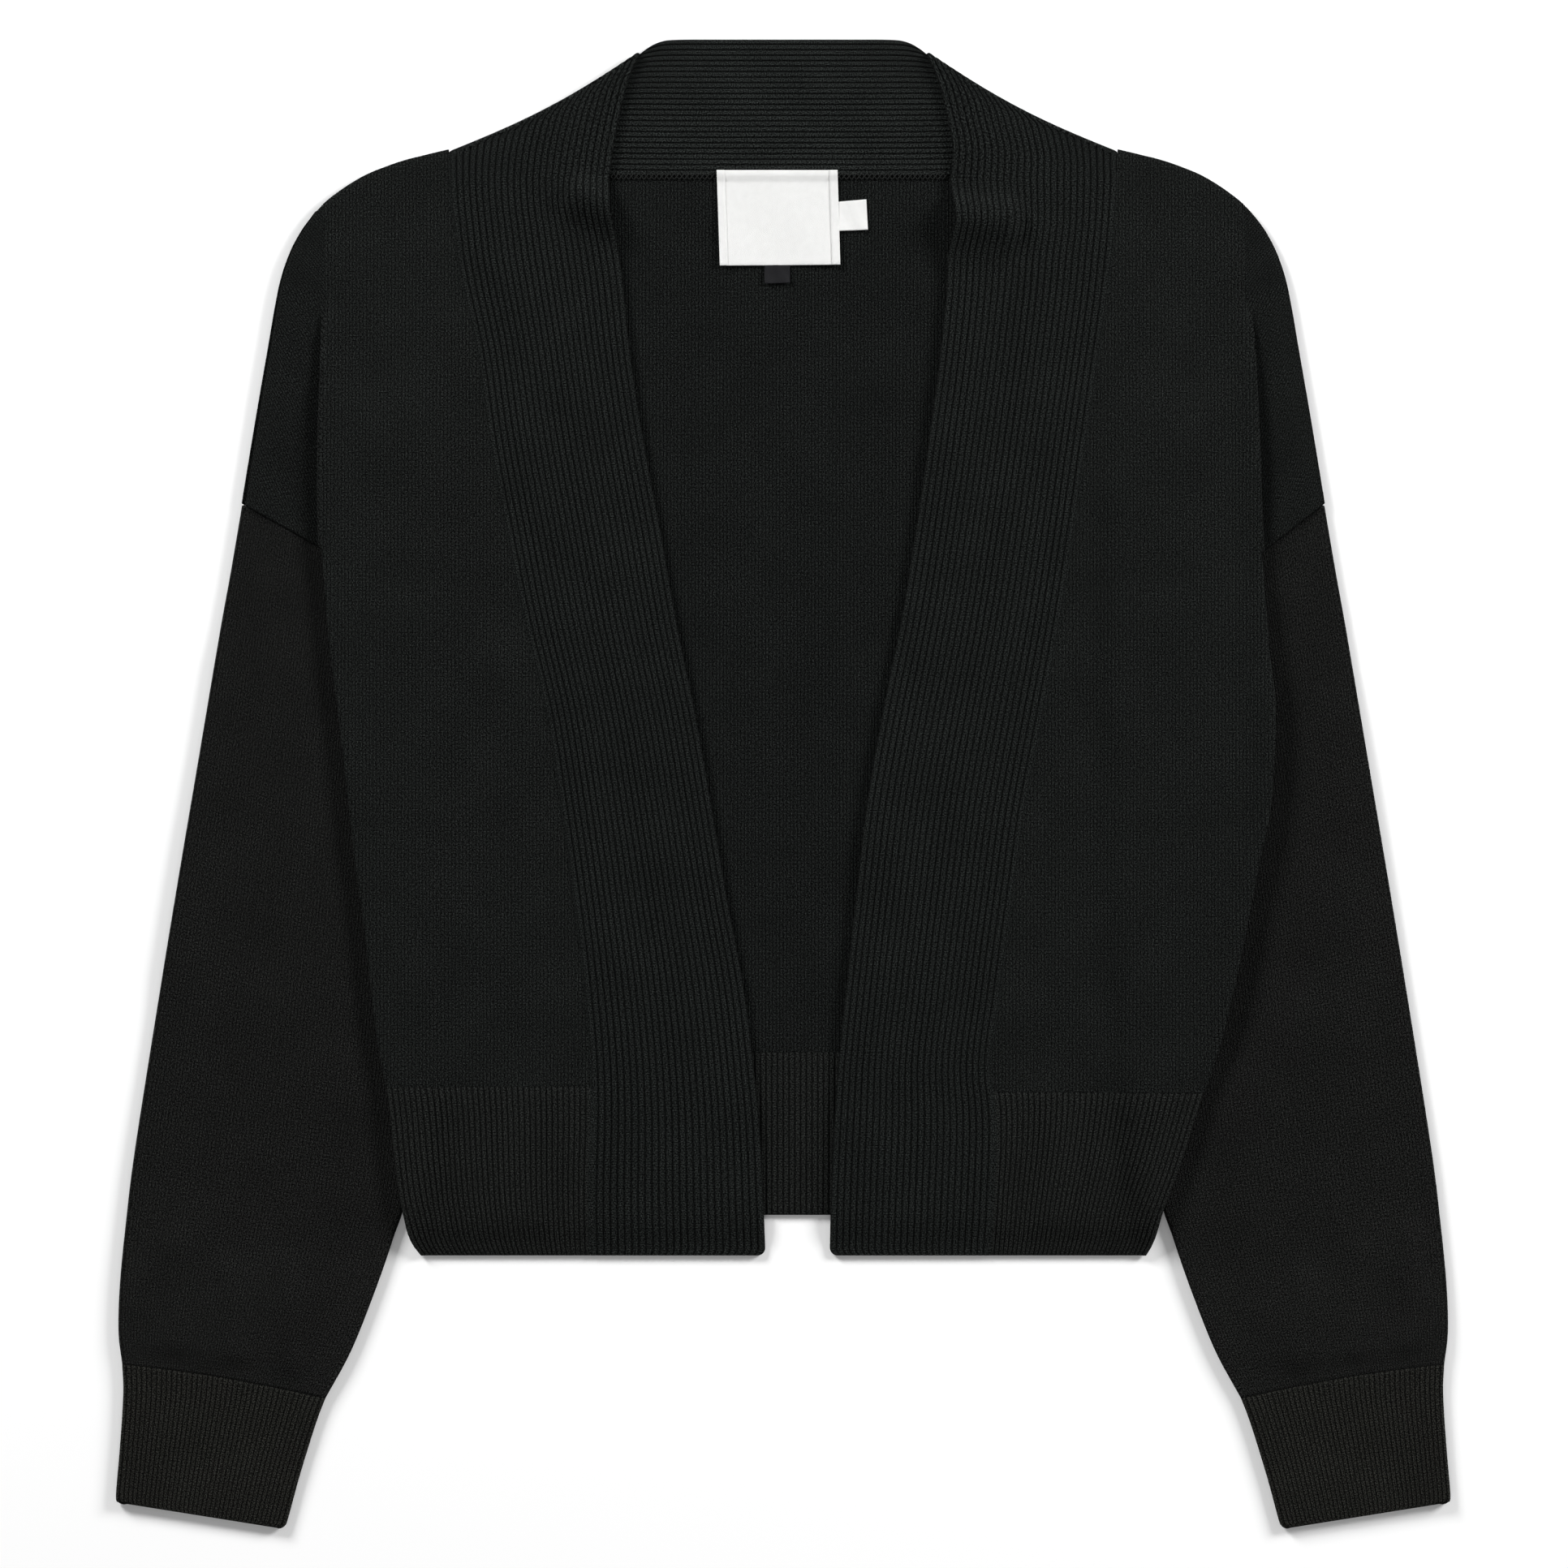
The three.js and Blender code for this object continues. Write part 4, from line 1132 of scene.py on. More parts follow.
@dataclass
class FrontPanel:
    """A plain knit front, from its hem to the shoulder, with its part of the dropped shoulder."""

    side: Side
    finish: bpy.types.Material
    row_step: float = 3.0
    rim: float = 0.7
    fold_radius: float = 0.9
    fold_run: float = 7.0
    edge_reach: float = 3.0
    edge_depth: float = 0.8
    wale_turn: float = math.radians(33)
    crown: float = 1.5
    crown_slope: float = 9.0
    seam_rim: float = 0.4
    roll_grow: float = 60.0
    turn_steps: int = 16
    strip_steps: int = 14
    fade_power: float = 0.6
    keep_width: float = 20.0
    fall_width: float = 10.0

    def rows(self) -> Array:
        """Rows along the front's inner edge, close together at its ends and at the sleeve's seam."""
        near = LAY.corner_y(self.side) + NEAR_SEAM
        return panel_rows(self.side.hem_top + LAY.seam, near, self.rim, self.row_step)

    def roll_share(self, ys: Array) -> Array:
        """Share of the edge roll that the front has alone, in each row.

        Args:
            ys: Rows along the inner edge.

        Returns:
            1 at the sleeve's seam, more beside the crease, and 0 a little below the seam and at the
            crease's top.
        """
        corner = LAY.corner_y(self.side)
        beside = 1 + LAY.crease_roll * smoothstep((ys - corner) / self.roll_grow)
        alone = 1 - smoothstep((corner - ys) / LAY.roll_end)
        return alone * beside * LAY.crease_depth(ys, corner, LAY.crease_hold)

    def main(self, ys: Array) -> tuple[Array, Array, Array]:
        """Works out the part between the band and the side.

        Each row is level up to the end of the crease. Above it the rows turn gradually into the
        shoulder's outline.

        Args:
            ys: Rows along the inner edge.

        Returns:
            Points, their places in the knit and the share of the wall's thickness.
        """
        side, corner = self.side, LAY.corner_y(self.side)
        inner = np.concatenate([np.linspace(0, 0.93, 46), np.linspace(0.94, 1.0, 10)])
        spacing = Spacing.even(0, inner=inner)
        seam, outer = LAY.band_seam(side, ys) + LAY.seam, LAY.panel_edge(side, ys)
        across = spacing.places(outer - seam, self.rim)
        distance = seam[:, None] + across
        t = LAY.turned(ys)[:, None]
        level = np.minimum(ys, LAY.crease_top)[:, None] + 0 * distance
        y = level * (1 - t) + t * LAY.shoulder_y(distance)
        x = side.value * distance
        free = (ys < corner - ON_SEAM)[:, None]
        fall = np.where(free, edge_fall(outer[:, None] - distance, self.edge_reach, self.edge_depth), 0.0)
        fall = fall + edge_fall((1 - t) * (LAY.summit - LAY.crease_top), self.edge_reach, self.edge_depth)
        rolled = LAY.edge_roll(outer[:, None] - distance, self.roll_share(ys)[:, None])
        z = LAY.front(x, y) + LAY.jersey / 2 - fall + rolled
        share = np.tile(spacing.thickness, (len(ys), 1))
        columns = np.arange(share.shape[1])[None]
        above = (ys > corner + ON_SEAM)[:, None]
        share = np.where(above & (columns > share.shape[1] // 2), 1.0, share)
        share = share * rounded(ys[-1] - ys, self.rim)[:, None]
        return grid(x, y, z), grid(distance, y), share

    def strip(self, ys: Array, crease: Array) -> tuple[Array, Array, Array]:
        """Works out the dropped shoulder beyond the crease.

        The cloth turns under the body's edge and out again, in two half circles, and runs on to the
        outline. The turn opens into a gentle step as the crease fades.

        Args:
            ys: Rows of the main part from the sleeve's seam up.
            crease: Points of the main part's last column in those rows.

        Returns:
            Points, their places in the knit and the share of the wall's thickness.
        """
        side = self.side
        corner = crease[0, 1]
        outline_x, outline_y = LAY.outline(crease)
        outline_x[-1] = LAY.shoulder_corner
        start_x = np.abs(crease[:, 0])
        width = outline_x - start_x
        fade = LAY.crease_depth(crease[:, 1], corner, LAY.crease_hold)
        drop = np.maximum(LAY.body_lift * fade, 1e-6)
        turn = np.linspace(0, 1, self.turn_steps + 1)[None, :]
        r1 = np.minimum(self.fold_radius, drop / 4)[:, None]
        r2 = (drop[:, None] - 2 * r1) / 2
        first, second = np.clip(turn * 2, 0, 1) * math.pi, np.clip(turn * 2 - 1, 0, 1) * math.pi
        out = np.where(turn <= 0.5, r1 * np.sin(first), -r2 * np.sin(second))
        down = np.where(turn <= 0.5, r1 * (1 - np.cos(first)), 2 * r1 + r2 * (1 - np.cos(second)))
        keep = (fade**self.fade_power * np.clip(width / self.keep_width, 0, 1))[:, None]
        run = np.minimum(self.fold_run, width / 3)[:, None]
        turned = keep * out + (1 - keep) * run * turn
        sunk = keep * down / drop[:, None] + (1 - keep) * smoothstep(turn)
        reach = turned[:, -1:]
        spacing = Spacing.even(self.strip_steps)
        small = np.minimum(self.rim, width[:, None] / 8)
        rest = np.concatenate([spacing.inner_part[4:-3], np.ones(3)])
        rim_part = np.concatenate([np.ones(len(spacing.inner_part) - 7), spacing.rim_part[-3:] - 1])
        flat = reach + rest * (width[:, None] - small - reach) + np.where(rest == 1, rim_part, 0) * small
        flat = np.where(np.arange(flat.shape[1]) == flat.shape[1] - 1, width[:, None], flat)
        distance = np.concatenate([turned, flat], axis=1)
        sunk = np.concatenate([sunk, np.ones_like(flat)], axis=1)
        x, y = spread(side, crease, outline_y, width, distance)
        beyond = width[:, None] - distance
        fall = edge_fall(beyond, self.edge_reach, self.edge_depth)
        fall = fall * np.clip(width / self.fall_width, 0, 1)[:, None]
        rolled = LAY.roll * self.roll_share(crease[:, 1])
        lifted = (LAY.lift(side.value * start_x, crease[:, 1]) + rolled)[:, None]
        crown = smoothstep(distance / self.crown_slope) * smoothstep(beyond / self.crown_slope)
        crown = crown * self.crown * fade[:, None]
        z = LAY.front_base + LAY.soft(x, y) + LAY.jersey / 2 + lifted * (1 - sunk) - fall + crown
        points = grid(x, y, z)
        points[:, 0] = crease
        points[-1] = crease[-1]
        share = np.ones(points.shape[:2])
        share[:, -4:] = spacing.thickness[-4:]
        share *= np.clip((crease[:, 1] - corner) / self.seam_rim, 0, 1)[:, None] ** 0.5
        share[:, 0] = 1.0
        share[0, :] = 0.0
        path = np.cumsum(np.linalg.norm(np.diff(points, axis=1, prepend=points[:, :1]), axis=2), axis=1)
        around = start_x[:, None] + path
        level = np.repeat(ys[:, None], path.shape[1], 1)
        turn_cos, turn_sin = math.cos(self.wale_turn), math.sin(self.wale_turn)
        leaning = around * turn_cos - level * turn_sin + PULLED_PLACE
        return points, grid(leaning, level * turn_cos + around * turn_sin), share

    def build(self) -> bpy.types.Object:
        """Builds the front.

        Returns:
            The object.
        """
        ys = self.rows()
        points, wales, share = self.main(ys)
        first = int(np.argmin(np.abs(ys - LAY.corner_y(self.side))))
        share[first, -1] = 0.0
        strip, strip_wales, strip_share = self.strip(ys[first:], points[first:, -1])
        strip_share[:, 0] = share[first:, -1]
        half = LAY.jersey / 2
        cloth = Cloth(f"{self.side.word}_front_knit")
        flip = self.side is L
        cloth.add(points, wales, share * half, share * half, flip)
        cloth.add(strip, strip_wales, strip_share * half, strip_share * half, flip)
        node = f"{self.side.word}_front"
        obj = cloth.build(self.finish, node, "jersey_knit")
        return obj


@dataclass
class BackPanel:
    """The plain knit back, which rests on the surface in the middle and on the sleeves at its sides."""

    finish: bpy.types.Material
    row_step: float = 3.6
    rim: float = 0.7
    neck_corner: float = 148.0
    step: float = 4.0

    def edge(self, side: Side, ys: Array) -> Array:
        """Distance of the back's side, or of its crease tucked under the front's, from the middle."""
        tuck = np.where(ys < LAY.corner_y(side) - ON_SEAM, LAY.side_tuck, LAY.back_tuck)
        return LAY.panel_edge(side, ys) - tuck

    def top(self, x: Array) -> Array:
        """Reads the upper edge: the neck seam in the middle and the shoulder's outline beyond it.

        Args:
            x: Places along X.

        Returns:
            The edge's place along Y at each.
        """
        distance = np.abs(x)
        neck = read(BAND_BACK["seam_x"], BAND_BACK["seam_y"], distance) - LAY.seam
        return np.where(distance < self.neck_corner, neck, LAY.shoulder_y(distance))

    def strip(self, side: Side, crease: Array) -> tuple[Array, Array, Array]:
        """Works out the back's half of the dropped shoulder, a smooth step down and out to the outline.

        Args:
            side: Which half.
            crease: Points of the main part's last column, from the sleeve's seam up.

        Returns:
            Points, their places in the knit and the share of the wall's thickness.
        """
        outline_x, outline_y = LAY.outline(crease)
        start_x = np.abs(crease[:, 0])
        width = np.maximum(outline_x - start_x, 0)
        width[-1] = 0
        inner = np.concatenate([np.linspace(0, 0.2, 9), np.linspace(0.25, 1, 12)])
        spacing = Spacing.even(0, inner=inner)
        distance = spacing.places(width, self.rim)
        fall = smoothstep(distance / self.step)
        lifted = LAY.lift(side.value * start_x, crease[:, 1])[:, None]
        x, y = spread(side, crease, outline_y, width, distance)
        points = grid(x, y, LAY.jersey / 2 + lifted * (1 - fall))
        points[:, 0] = crease
        points[-1] = crease[-1]
        share = np.tile(spacing.thickness, (len(crease), 1))
        share[:, : share.shape[1] // 2] = 1.0
        share[0] = 0.0
        return points, grid(np.abs(x), y), share

    def build(self) -> bpy.types.Object:
        """Builds the back.

        Returns:
            The object.
        """
        corners = np.array([LAY.corner_y(side) for side in (L, R)])
        ys = panel_rows(BACK_HEM_TOP + LAY.seam, corners, self.rim, self.row_step)
        left, right = (self.edge(side, ys) for side in (L, R))
        bent = 0.5 - 0.5 * np.cos(np.linspace(0, math.pi, 131))
        spacing = Spacing.even(0, inner=0.35 * bent + 0.65 * np.linspace(0, 1, 131))
        x = -left[:, None] + spacing.places(left + right, self.rim)
        t = LAY.turned(ys)[:, None]
        y = np.minimum(ys, LAY.crease_top)[:, None] * (1 - t) + t * self.top(x)
        rows = rounded(ys[-1] - ys, self.rim)[:, None]
        share = np.tile(spacing.thickness, (len(ys), 1)) * rows
        firsts = [int(np.argmin(np.abs(ys - corner))) for corner in corners]
        share[firsts[0] + 1 :, :4] = rows[firsts[0] + 1 :]
        share[firsts[1] + 1 :, -4:] = rows[firsts[1] + 1 :]
        half = LAY.jersey / 2
        points = grid(x, y, LAY.lift(x, y) + half)
        cloth = Cloth("back_knit")
        for side, first, column in ((L, firsts[0], 0), (R, firsts[1], -1)):
            share[first, column] = 0.0
            strip, strip_wales, strip_share = self.strip(side, points[first:, column])
            strip_share[:, 0] = share[first:, column]
            cloth.add(strip, strip_wales, strip_share * half, strip_share * half, side is L)
        cloth.add(points, grid(x, y), share * half, share * half)
        obj = cloth.build(self.finish, "back_panel", "jersey_knit")
        return obj


@dataclass
class Hem:
    """A ribbed hem of a front or of the back."""

    finish: bpy.types.Material
    pitch: float = 2.5
    back_ribs: int = 140
    rim: float = 0.7
    row_step: float = 3.0
    rib_start: float = 2.5

    def wall(self, name: str, node: str, ys: Array, low: Array, high: Array,
             height: Callable[[Array, Array], Array], flip: bool, ribs: int,
             upright: bool = False) -> tuple[bpy.types.Object, Cloth]:
        """Makes a ribbed wall between two sides.

        Args:
            name: Name of the piece.
            node: Node that it stands for.
            ys: Rows from the bottom edge to the top one.
            low: Where each row starts along X.
            high: Where each row ends along X.
            height: Function of x and y that gives the underside.
            flip: True where low lies to the right of high.
            ribs: Number of ribs from low to high, which sets how fine the wall is.
            upright: True where the ribs run along Y at the usual pitch, and not beside the sides.

        Returns:
            The object and its cloth.
        """
        spacing = Spacing.even(ribs * RIB_COLUMNS)
        across = spacing.places(np.abs(high - low), self.rim)
        x = low[:, None] + np.sign(high - low)[:, None] * across
        y = np.repeat(ys[:, None], x.shape[1], axis=1)
        share = spacing.thickness[None] * rounded(ys - ys[0], self.rim)[:, None]
        count = x / self.pitch if upright else across / np.abs(high - low)[:, None] * ribs
        relief = LAY.rib_rise * rib_profile(count) * smoothstep((ys[-1] - ys) / self.rib_start)[:, None]
        half = LAY.rib_wall / 2
        points = grid(x, y, height(x, y) + half)
        cloth = Cloth(name)
        cloth.add(points, grid(count * self.pitch, y), share * (half + relief), share * half, flip)
        return cloth.build(self.finish, node, "rib_knit"), cloth

    def rows(self, bottom: float, top: float) -> Array:
        """Rows from the bottom edge to the top one, close together at both rims.

        Args:
            bottom: The bottom edge.
            top: The top edge.

        Returns:
            The rows, in rising order.
        """
        rims = rim_rows(self.rim)
        even = np.arange(bottom + self.rim, top - self.rim, self.row_step)[1:]
        return np.unique(np.concatenate([bottom + rims, even, top - rims]))

    def build_front(self, side: Side) -> bpy.types.Object:
        """Builds a front's hem, from the band's seam to the body's side.

        Args:
            side: Which front.

        Returns:
            The object.
        """
        ys = self.rows(LAY.hem_end, side.hem_top - LAY.seam)
        low = side.value * (LAY.band_seam(side, ys) + LAY.seam)
        high = side.value * LAY.edge(side, ys)
        ribs = round((LAY.edge(side, side.hem_top) - LAY.band_seam(side, side.hem_top)) / self.pitch)
        node = f"{side.word}_front_hem"
        obj, cloth = self.wall(f"{node}_rib", node, ys, low, high, LAY.front, side is L, ribs)
        return obj

    def build_back(self) -> bpy.types.Object:
        """Builds the back's hem, across the whole back.

        Returns:
            The object.
        """
        ys = self.rows(BACK_HEM_END, BACK_HEM_TOP - LAY.seam)
        low, high = -(LAY.edge(L, ys) - LAY.side_tuck), LAY.edge(R, ys) - LAY.side_tuck
        ribs = self.back_ribs
        obj, cloth = self.wall("back_hem_rib", "back_hem", ys, low, high, LAY.lift, False, ribs, True)
        return obj


@dataclass
class Band:
    """The ribbed strip up one front, over the shoulder, round the back of the neck and down the other."""

    finish: bpy.types.Material
    ribs: int = 25
    pitch: float = 2.8
    rim: float = 0.75
    row_step: float = 4.6
    rib_columns: int = 5
    fan_steps: int = 7
    fold_steps: int = 12
    back_steps: int = 8
    free_turn: float = 0.35
    settle_start: float = 267.0
    settle_length: float = 16.0
    corner: float = 3.4
    out_end: float = 0.35
    out_fade: float = 0.3
    in_start: float = 0.75
    in_fade: float = 0.25

    def leg(self, side: Side) -> dict[str, Array]:
        """Works out the sections of a leg: level lines from its bottom edge to the neck.

        The free edge's lower corner is rounded.

        Args:
            side: Which half.

        Returns:
            The sections.
        """
        start, end = LAY.hem_end, float(BAND["y"][-1])
        near = start + np.array([1.2, 1.8, 2.6, self.corner])
        even = np.arange(start + 2 * self.corner, end, self.row_step)
        y = np.concatenate([start + rim_rows(self.rim)[:-1], [start + self.rim], near, even])
        below = np.clip(self.corner - (y - start), 0, self.corner)
        cut = self.corner - np.sqrt(self.corner**2 - below**2)
        free = read(BAND["y"], BAND[f"{side.word}_free"], y) + cut
        return {"seam_x": LAY.band_seam(side, y), "seam_y": y, "free_x": free, "free_y": y, "sag": 0 * y}

    def between(self, rows: list[dict[str, Array]], steps: int) -> dict[str, Array]:
        """Smoothly spaced sections through a few given ones.

        Args:
            rows: Tables of sections, in order.
            steps: Number of steps between neighbouring sections.

        Returns:
            The sections, with the given ones among them.
        """
        joined = {key: np.concatenate([row[key] for row in rows]) for key in rows[0]}
        keys = np.arange(len(joined["sag"]), dtype=float)
        places = np.linspace(0, keys[-1], int(keys[-1]) * steps + 1)
        return {key: read(keys, values, places) for key, values in joined.items()}

    def half(self, side: Side) -> tuple[dict[str, Array], Array, Array]:
        """All sections of one half, from its bottom edge to the middle of the back neck.

        Round the shoulder fold the sections turn through half a circle about a line inside the
        outline: they move in by reach - radius * cos(angle) and stand at middle + radius * sin(angle).

        Args:
            side: Which half.

        Returns:
            The sections, the height of each one's middle (not a number where the lay gives it), and
            how far each is turned over, from 0 to 1.
        """
        upper, lower = LAY.front_base + LAY.rib_wall / 2, LAY.rib_wall / 2
        radius = (upper - lower) / 2
        reach = radius + LAY.rib_wall / 2 + LAY.rib_rise
        dx = float((BAND_FOLD["free_x"] - BAND_FOLD["seam_x"])[0])
        dy = float((BAND_FOLD["free_y"] - BAND_FOLD["seam_y"])[0])
        length = math.hypot(dx, dy)
        inward = (-dy / length, dx / length)
        angle = np.linspace(math.pi / 2, -math.pi / 2, self.fold_steps + 1)
        shift = reach - radius * np.cos(angle)
        fold = {key: np.repeat(BAND_FOLD[key], len(angle)) for key in BAND_FOLD}
        for end, turn in (("seam", 1.0), ("free", self.free_turn)):
            fold[f"{end}_x"] = fold[f"{end}_x"] + inward[0] * shift * turn
            fold[f"{end}_y"] = fold[f"{end}_y"] + inward[1] * shift * turn
        leg = self.leg(side)
        first = {key: values[-1:] for key, values in leg.items()}
        fold_start = {key: values[:1] for key, values in fold.items()}
        fold_end = {key: values[-1:] for key, values in fold.items()}
        fan = self.between([first, BAND_FAN, fold_start], self.fan_steps)
        back = self.between([fold_end, BAND_BACK], self.back_steps)
        parts = [leg, {k: v[1:-1] for k, v in fan.items()}, fold, {k: v[1:] for k, v in back.items()}]
        sections = {key: np.concatenate([part[key] for part in parts]) for key in leg}
        free_lay = len(leg["sag"]) + len(fan["sag"]) - 2
        height = np.full(len(sections["sag"]), np.nan)
        height[free_lay : free_lay + len(angle)] = (upper + lower) / 2 + radius * np.sin(angle)
        height[free_lay + len(angle) :] = lower
        turned = np.zeros(len(height))
        turned[free_lay : free_lay + len(angle)] = (math.pi / 2 - angle) / math.pi
        turned[free_lay + len(angle) :] = 1.0
        return sections, height, turned

    def surface(self, side: Side) -> tuple[Array, Array, Array]:
        """Works out one half's middle surface.

        Args:
            side: Which half.

        Returns:
            Points, the share of the width from the seam to the free edge at each, and how far each
            section is turned over.
        """
        sections, height, turned = self.half(side)
        spacing = Spacing.even(self.ribs * self.rib_columns)
        dx, dy = sections["free_x"] - sections["seam_x"], sections["free_y"] - sections["seam_y"]
        length = np.hypot(dx, dy)
        t = spacing.places(length, self.rim) / length[:, None]
        hang = sections["sag"][:, None] * np.sin(math.pi * t)
        x = side.value * (sections["seam_x"][:, None] + t * dx[:, None] - hang * (dy / length)[:, None])
        y = sections["seam_y"][:, None] + t * dy[:, None] + hang * (dx / length)[:, None]
        lay = LAY.front(x, y) + LAY.rib_wall / 2
        flat = np.isnan(height)[:, None]
        settle = smoothstep((y - self.settle_start) / self.settle_length)
        lay = lay * (1 - settle) + (LAY.front_base + LAY.rib_wall / 2) * settle
        z = np.where(flat, lay, np.nan_to_num(height)[:, None])
        return grid(x, y, z), t, turned

    def build(self) -> bpy.types.Object:
        """Builds the whole strip as one wall, ribbed on each face where that face shows.

        Returns:
            The object.
        """
        left, t_left, turned_left = self.surface(L)
        right, t_right, turned_right = self.surface(R)
        points = np.concatenate([left, right[-2::-1]])
        t = np.concatenate([t_left, t_right[-2::-1]])
        turned = np.concatenate([turned_left, turned_right[-2::-1]])
        run = run_along(points[:, points.shape[1] // 2])
        spacing = Spacing.even(self.ribs * self.rib_columns)
        share = spacing.thickness[None] * rounded(np.minimum(run, run[-1] - run), self.rim)[:, None]
        relief = LAY.rib_rise * rib_profile(t * self.ribs)
        outside = smoothstep((self.out_end - turned) / self.out_fade)[:, None]
        inside = smoothstep((turned - self.in_start) / self.in_fade)[:, None]
        up = share * (LAY.rib_wall / 2 + relief * outside)
        down = share * (LAY.rib_wall / 2 + relief * inside)
        cloth = Cloth("band_rib")
        cloth.add(points, grid(t * self.ribs * self.pitch, run[:, None]), up, down)
        obj = cloth.build(self.finish, "front_band", "rib_knit")
        return obj


@dataclass
class Tube:
    """A flattened tube of cloth between an outer and an inner fold: a sleeve or a cuff."""

    side: Side
    name: str
    node: str
    slot: str
    finish: bpy.types.Material
    sections: dict[str, Array]
    steps: int
    ribs: int = 0
    pitch: float = 2.3
    bow_start: float = 0.0
    bow_end: float = 0.0
    folds: bool = False
    settle_length: float = 14.0
    crown: float = 1.7
    crown_slope: float = 15.0
    start_rows: tuple[float, ...] = ()
    rib_start: float = 3.0
    face_columns: int = 60
    fold_columns: int = 8
    rim: float = 0.7
    edge_gap: float = 2.0

    def ring_places(self) -> tuple[Array, Array, Array, Array]:
        """Places round the ring.

        Returns:
            The share of the way from the outer fold to the inner one, the angle round the folds
            (a quarter turn on the upper face, minus a quarter turn on the lower one), the share of a
            face's ribs, and the ribs counted all round, with two at each fold.
        """
        steps = self.ribs * RIB_COLUMNS if self.ribs else self.face_columns
        across = np.linspace(0, 1, steps + 1)
        upper = np.full(steps + 1, math.pi / 2)
        bend = np.linspace(math.pi / 2, -math.pi / 2, self.fold_columns + 1)[1:-1]
        share = np.concatenate([across, np.ones(len(bend)), across[::-1], np.zeros(len(bend)), [0.0]])
        angle = np.concatenate([upper, bend, -upper, bend[::-1], [math.pi / 2]])
        face = np.concatenate([across, np.full(len(bend), 1.0), across[::-1], np.zeros(len(bend)), [0.0]])
        at_fold = np.linspace(0, 2, self.fold_columns + 1)[1:-1]
        one = np.concatenate([across * self.ribs, self.ribs + at_fold])
        count = np.concatenate([one, one + self.ribs + 2, [2.0 * self.ribs + 4]])
        return share, angle, face, count

    def build(self) -> tuple[bpy.types.Object, Cloth]:
        """Builds the tube.

        A point lies at outer + along * (inner - outer), where along leaves room for the folds, and at
        middle + radius * sin(angle); round a fold it is pushed out by radius * cos(angle).

        Returns:
            The object and its cloth.
        """
        keys = np.arange(len(self.sections["outer_x"]), dtype=float)
        at = np.sort(np.concatenate([np.linspace(0, keys[-1], self.steps + 1), self.start_rows]))
        line = {key: read(keys, values, at) for key, values in self.sections.items()}
        dx, dy = line["inner_x"] - line["outer_x"], line["inner_y"] - line["outer_y"]
        length = np.hypot(dx, dy)
        share, angle, face, count = self.ring_places()
        half = LAY.sleeve_loft / 2
        radius = half - LAY.jersey / 2
        push = radius * np.cos(angle) * np.where(share > 0.5, 1, -1)
        distance = half + share[None] * (length - 2 * half)[:, None] + push[None]
        t = distance / length[:, None]
        ends = self.bow_start * (1 - smoothstep(at)) + self.bow_end * smoothstep(at - keys[-1] + 1)
        bow = ends[:, None] * np.sin(math.pi * np.clip(t, 0, 1))
        x = self.side.value * (line["outer_x"][:, None] + t * dx[:, None])
        y = line["outer_y"][:, None] + t * dy[:, None] + bow
        z = half + radius * np.sin(angle)[None] + 0 * x
        top = np.clip(np.sin(angle), 0, 1)[None]
        run = np.concatenate([[0], np.cumsum(np.hypot(np.diff(y.mean(1)), np.diff(x.mean(1))))])
        if self.folds:
            soft = sum(fold.height(x, y) for fold in SLEEVE_FOLDS) + np.abs(LAY.unevenness(x, y))
            beside = smoothstep((np.abs(x) - LAY.edge(self.side, y) - self.edge_gap) / self.crown_slope)
            crown = self.crown * beside * smoothstep(4 * t * (1 - t))
            settle = smoothstep((run[-1] - run) / self.settle_length)[:, None]
            z = z + top * (soft * beside + crown) * settle
        points = grid(x, y, z)
        taper = rounded(run[-1] - run if self.ribs else run, self.rim)[:, None]
        relief, around = 0.0, run_along(points[len(at) // 2])
        if self.ribs:
            ribbed = smoothstep(run / self.rib_start)[:, None]
            relief = LAY.rib_rise * rib_profile(face * self.ribs)[None] * ribbed * (top > 0.99)
            around = count * self.pitch
        up = taper * (LAY.jersey / 2 + relief) + 0 * z
        down = taper * LAY.jersey / 2 + 0 * z
        cloth = Cloth(self.name)
        cloth.add(points, grid(around[None], run[:, None]), up, down, self.side is R)
        obj = cloth.build(self.finish, self.node, self.slot)
        return obj, cloth


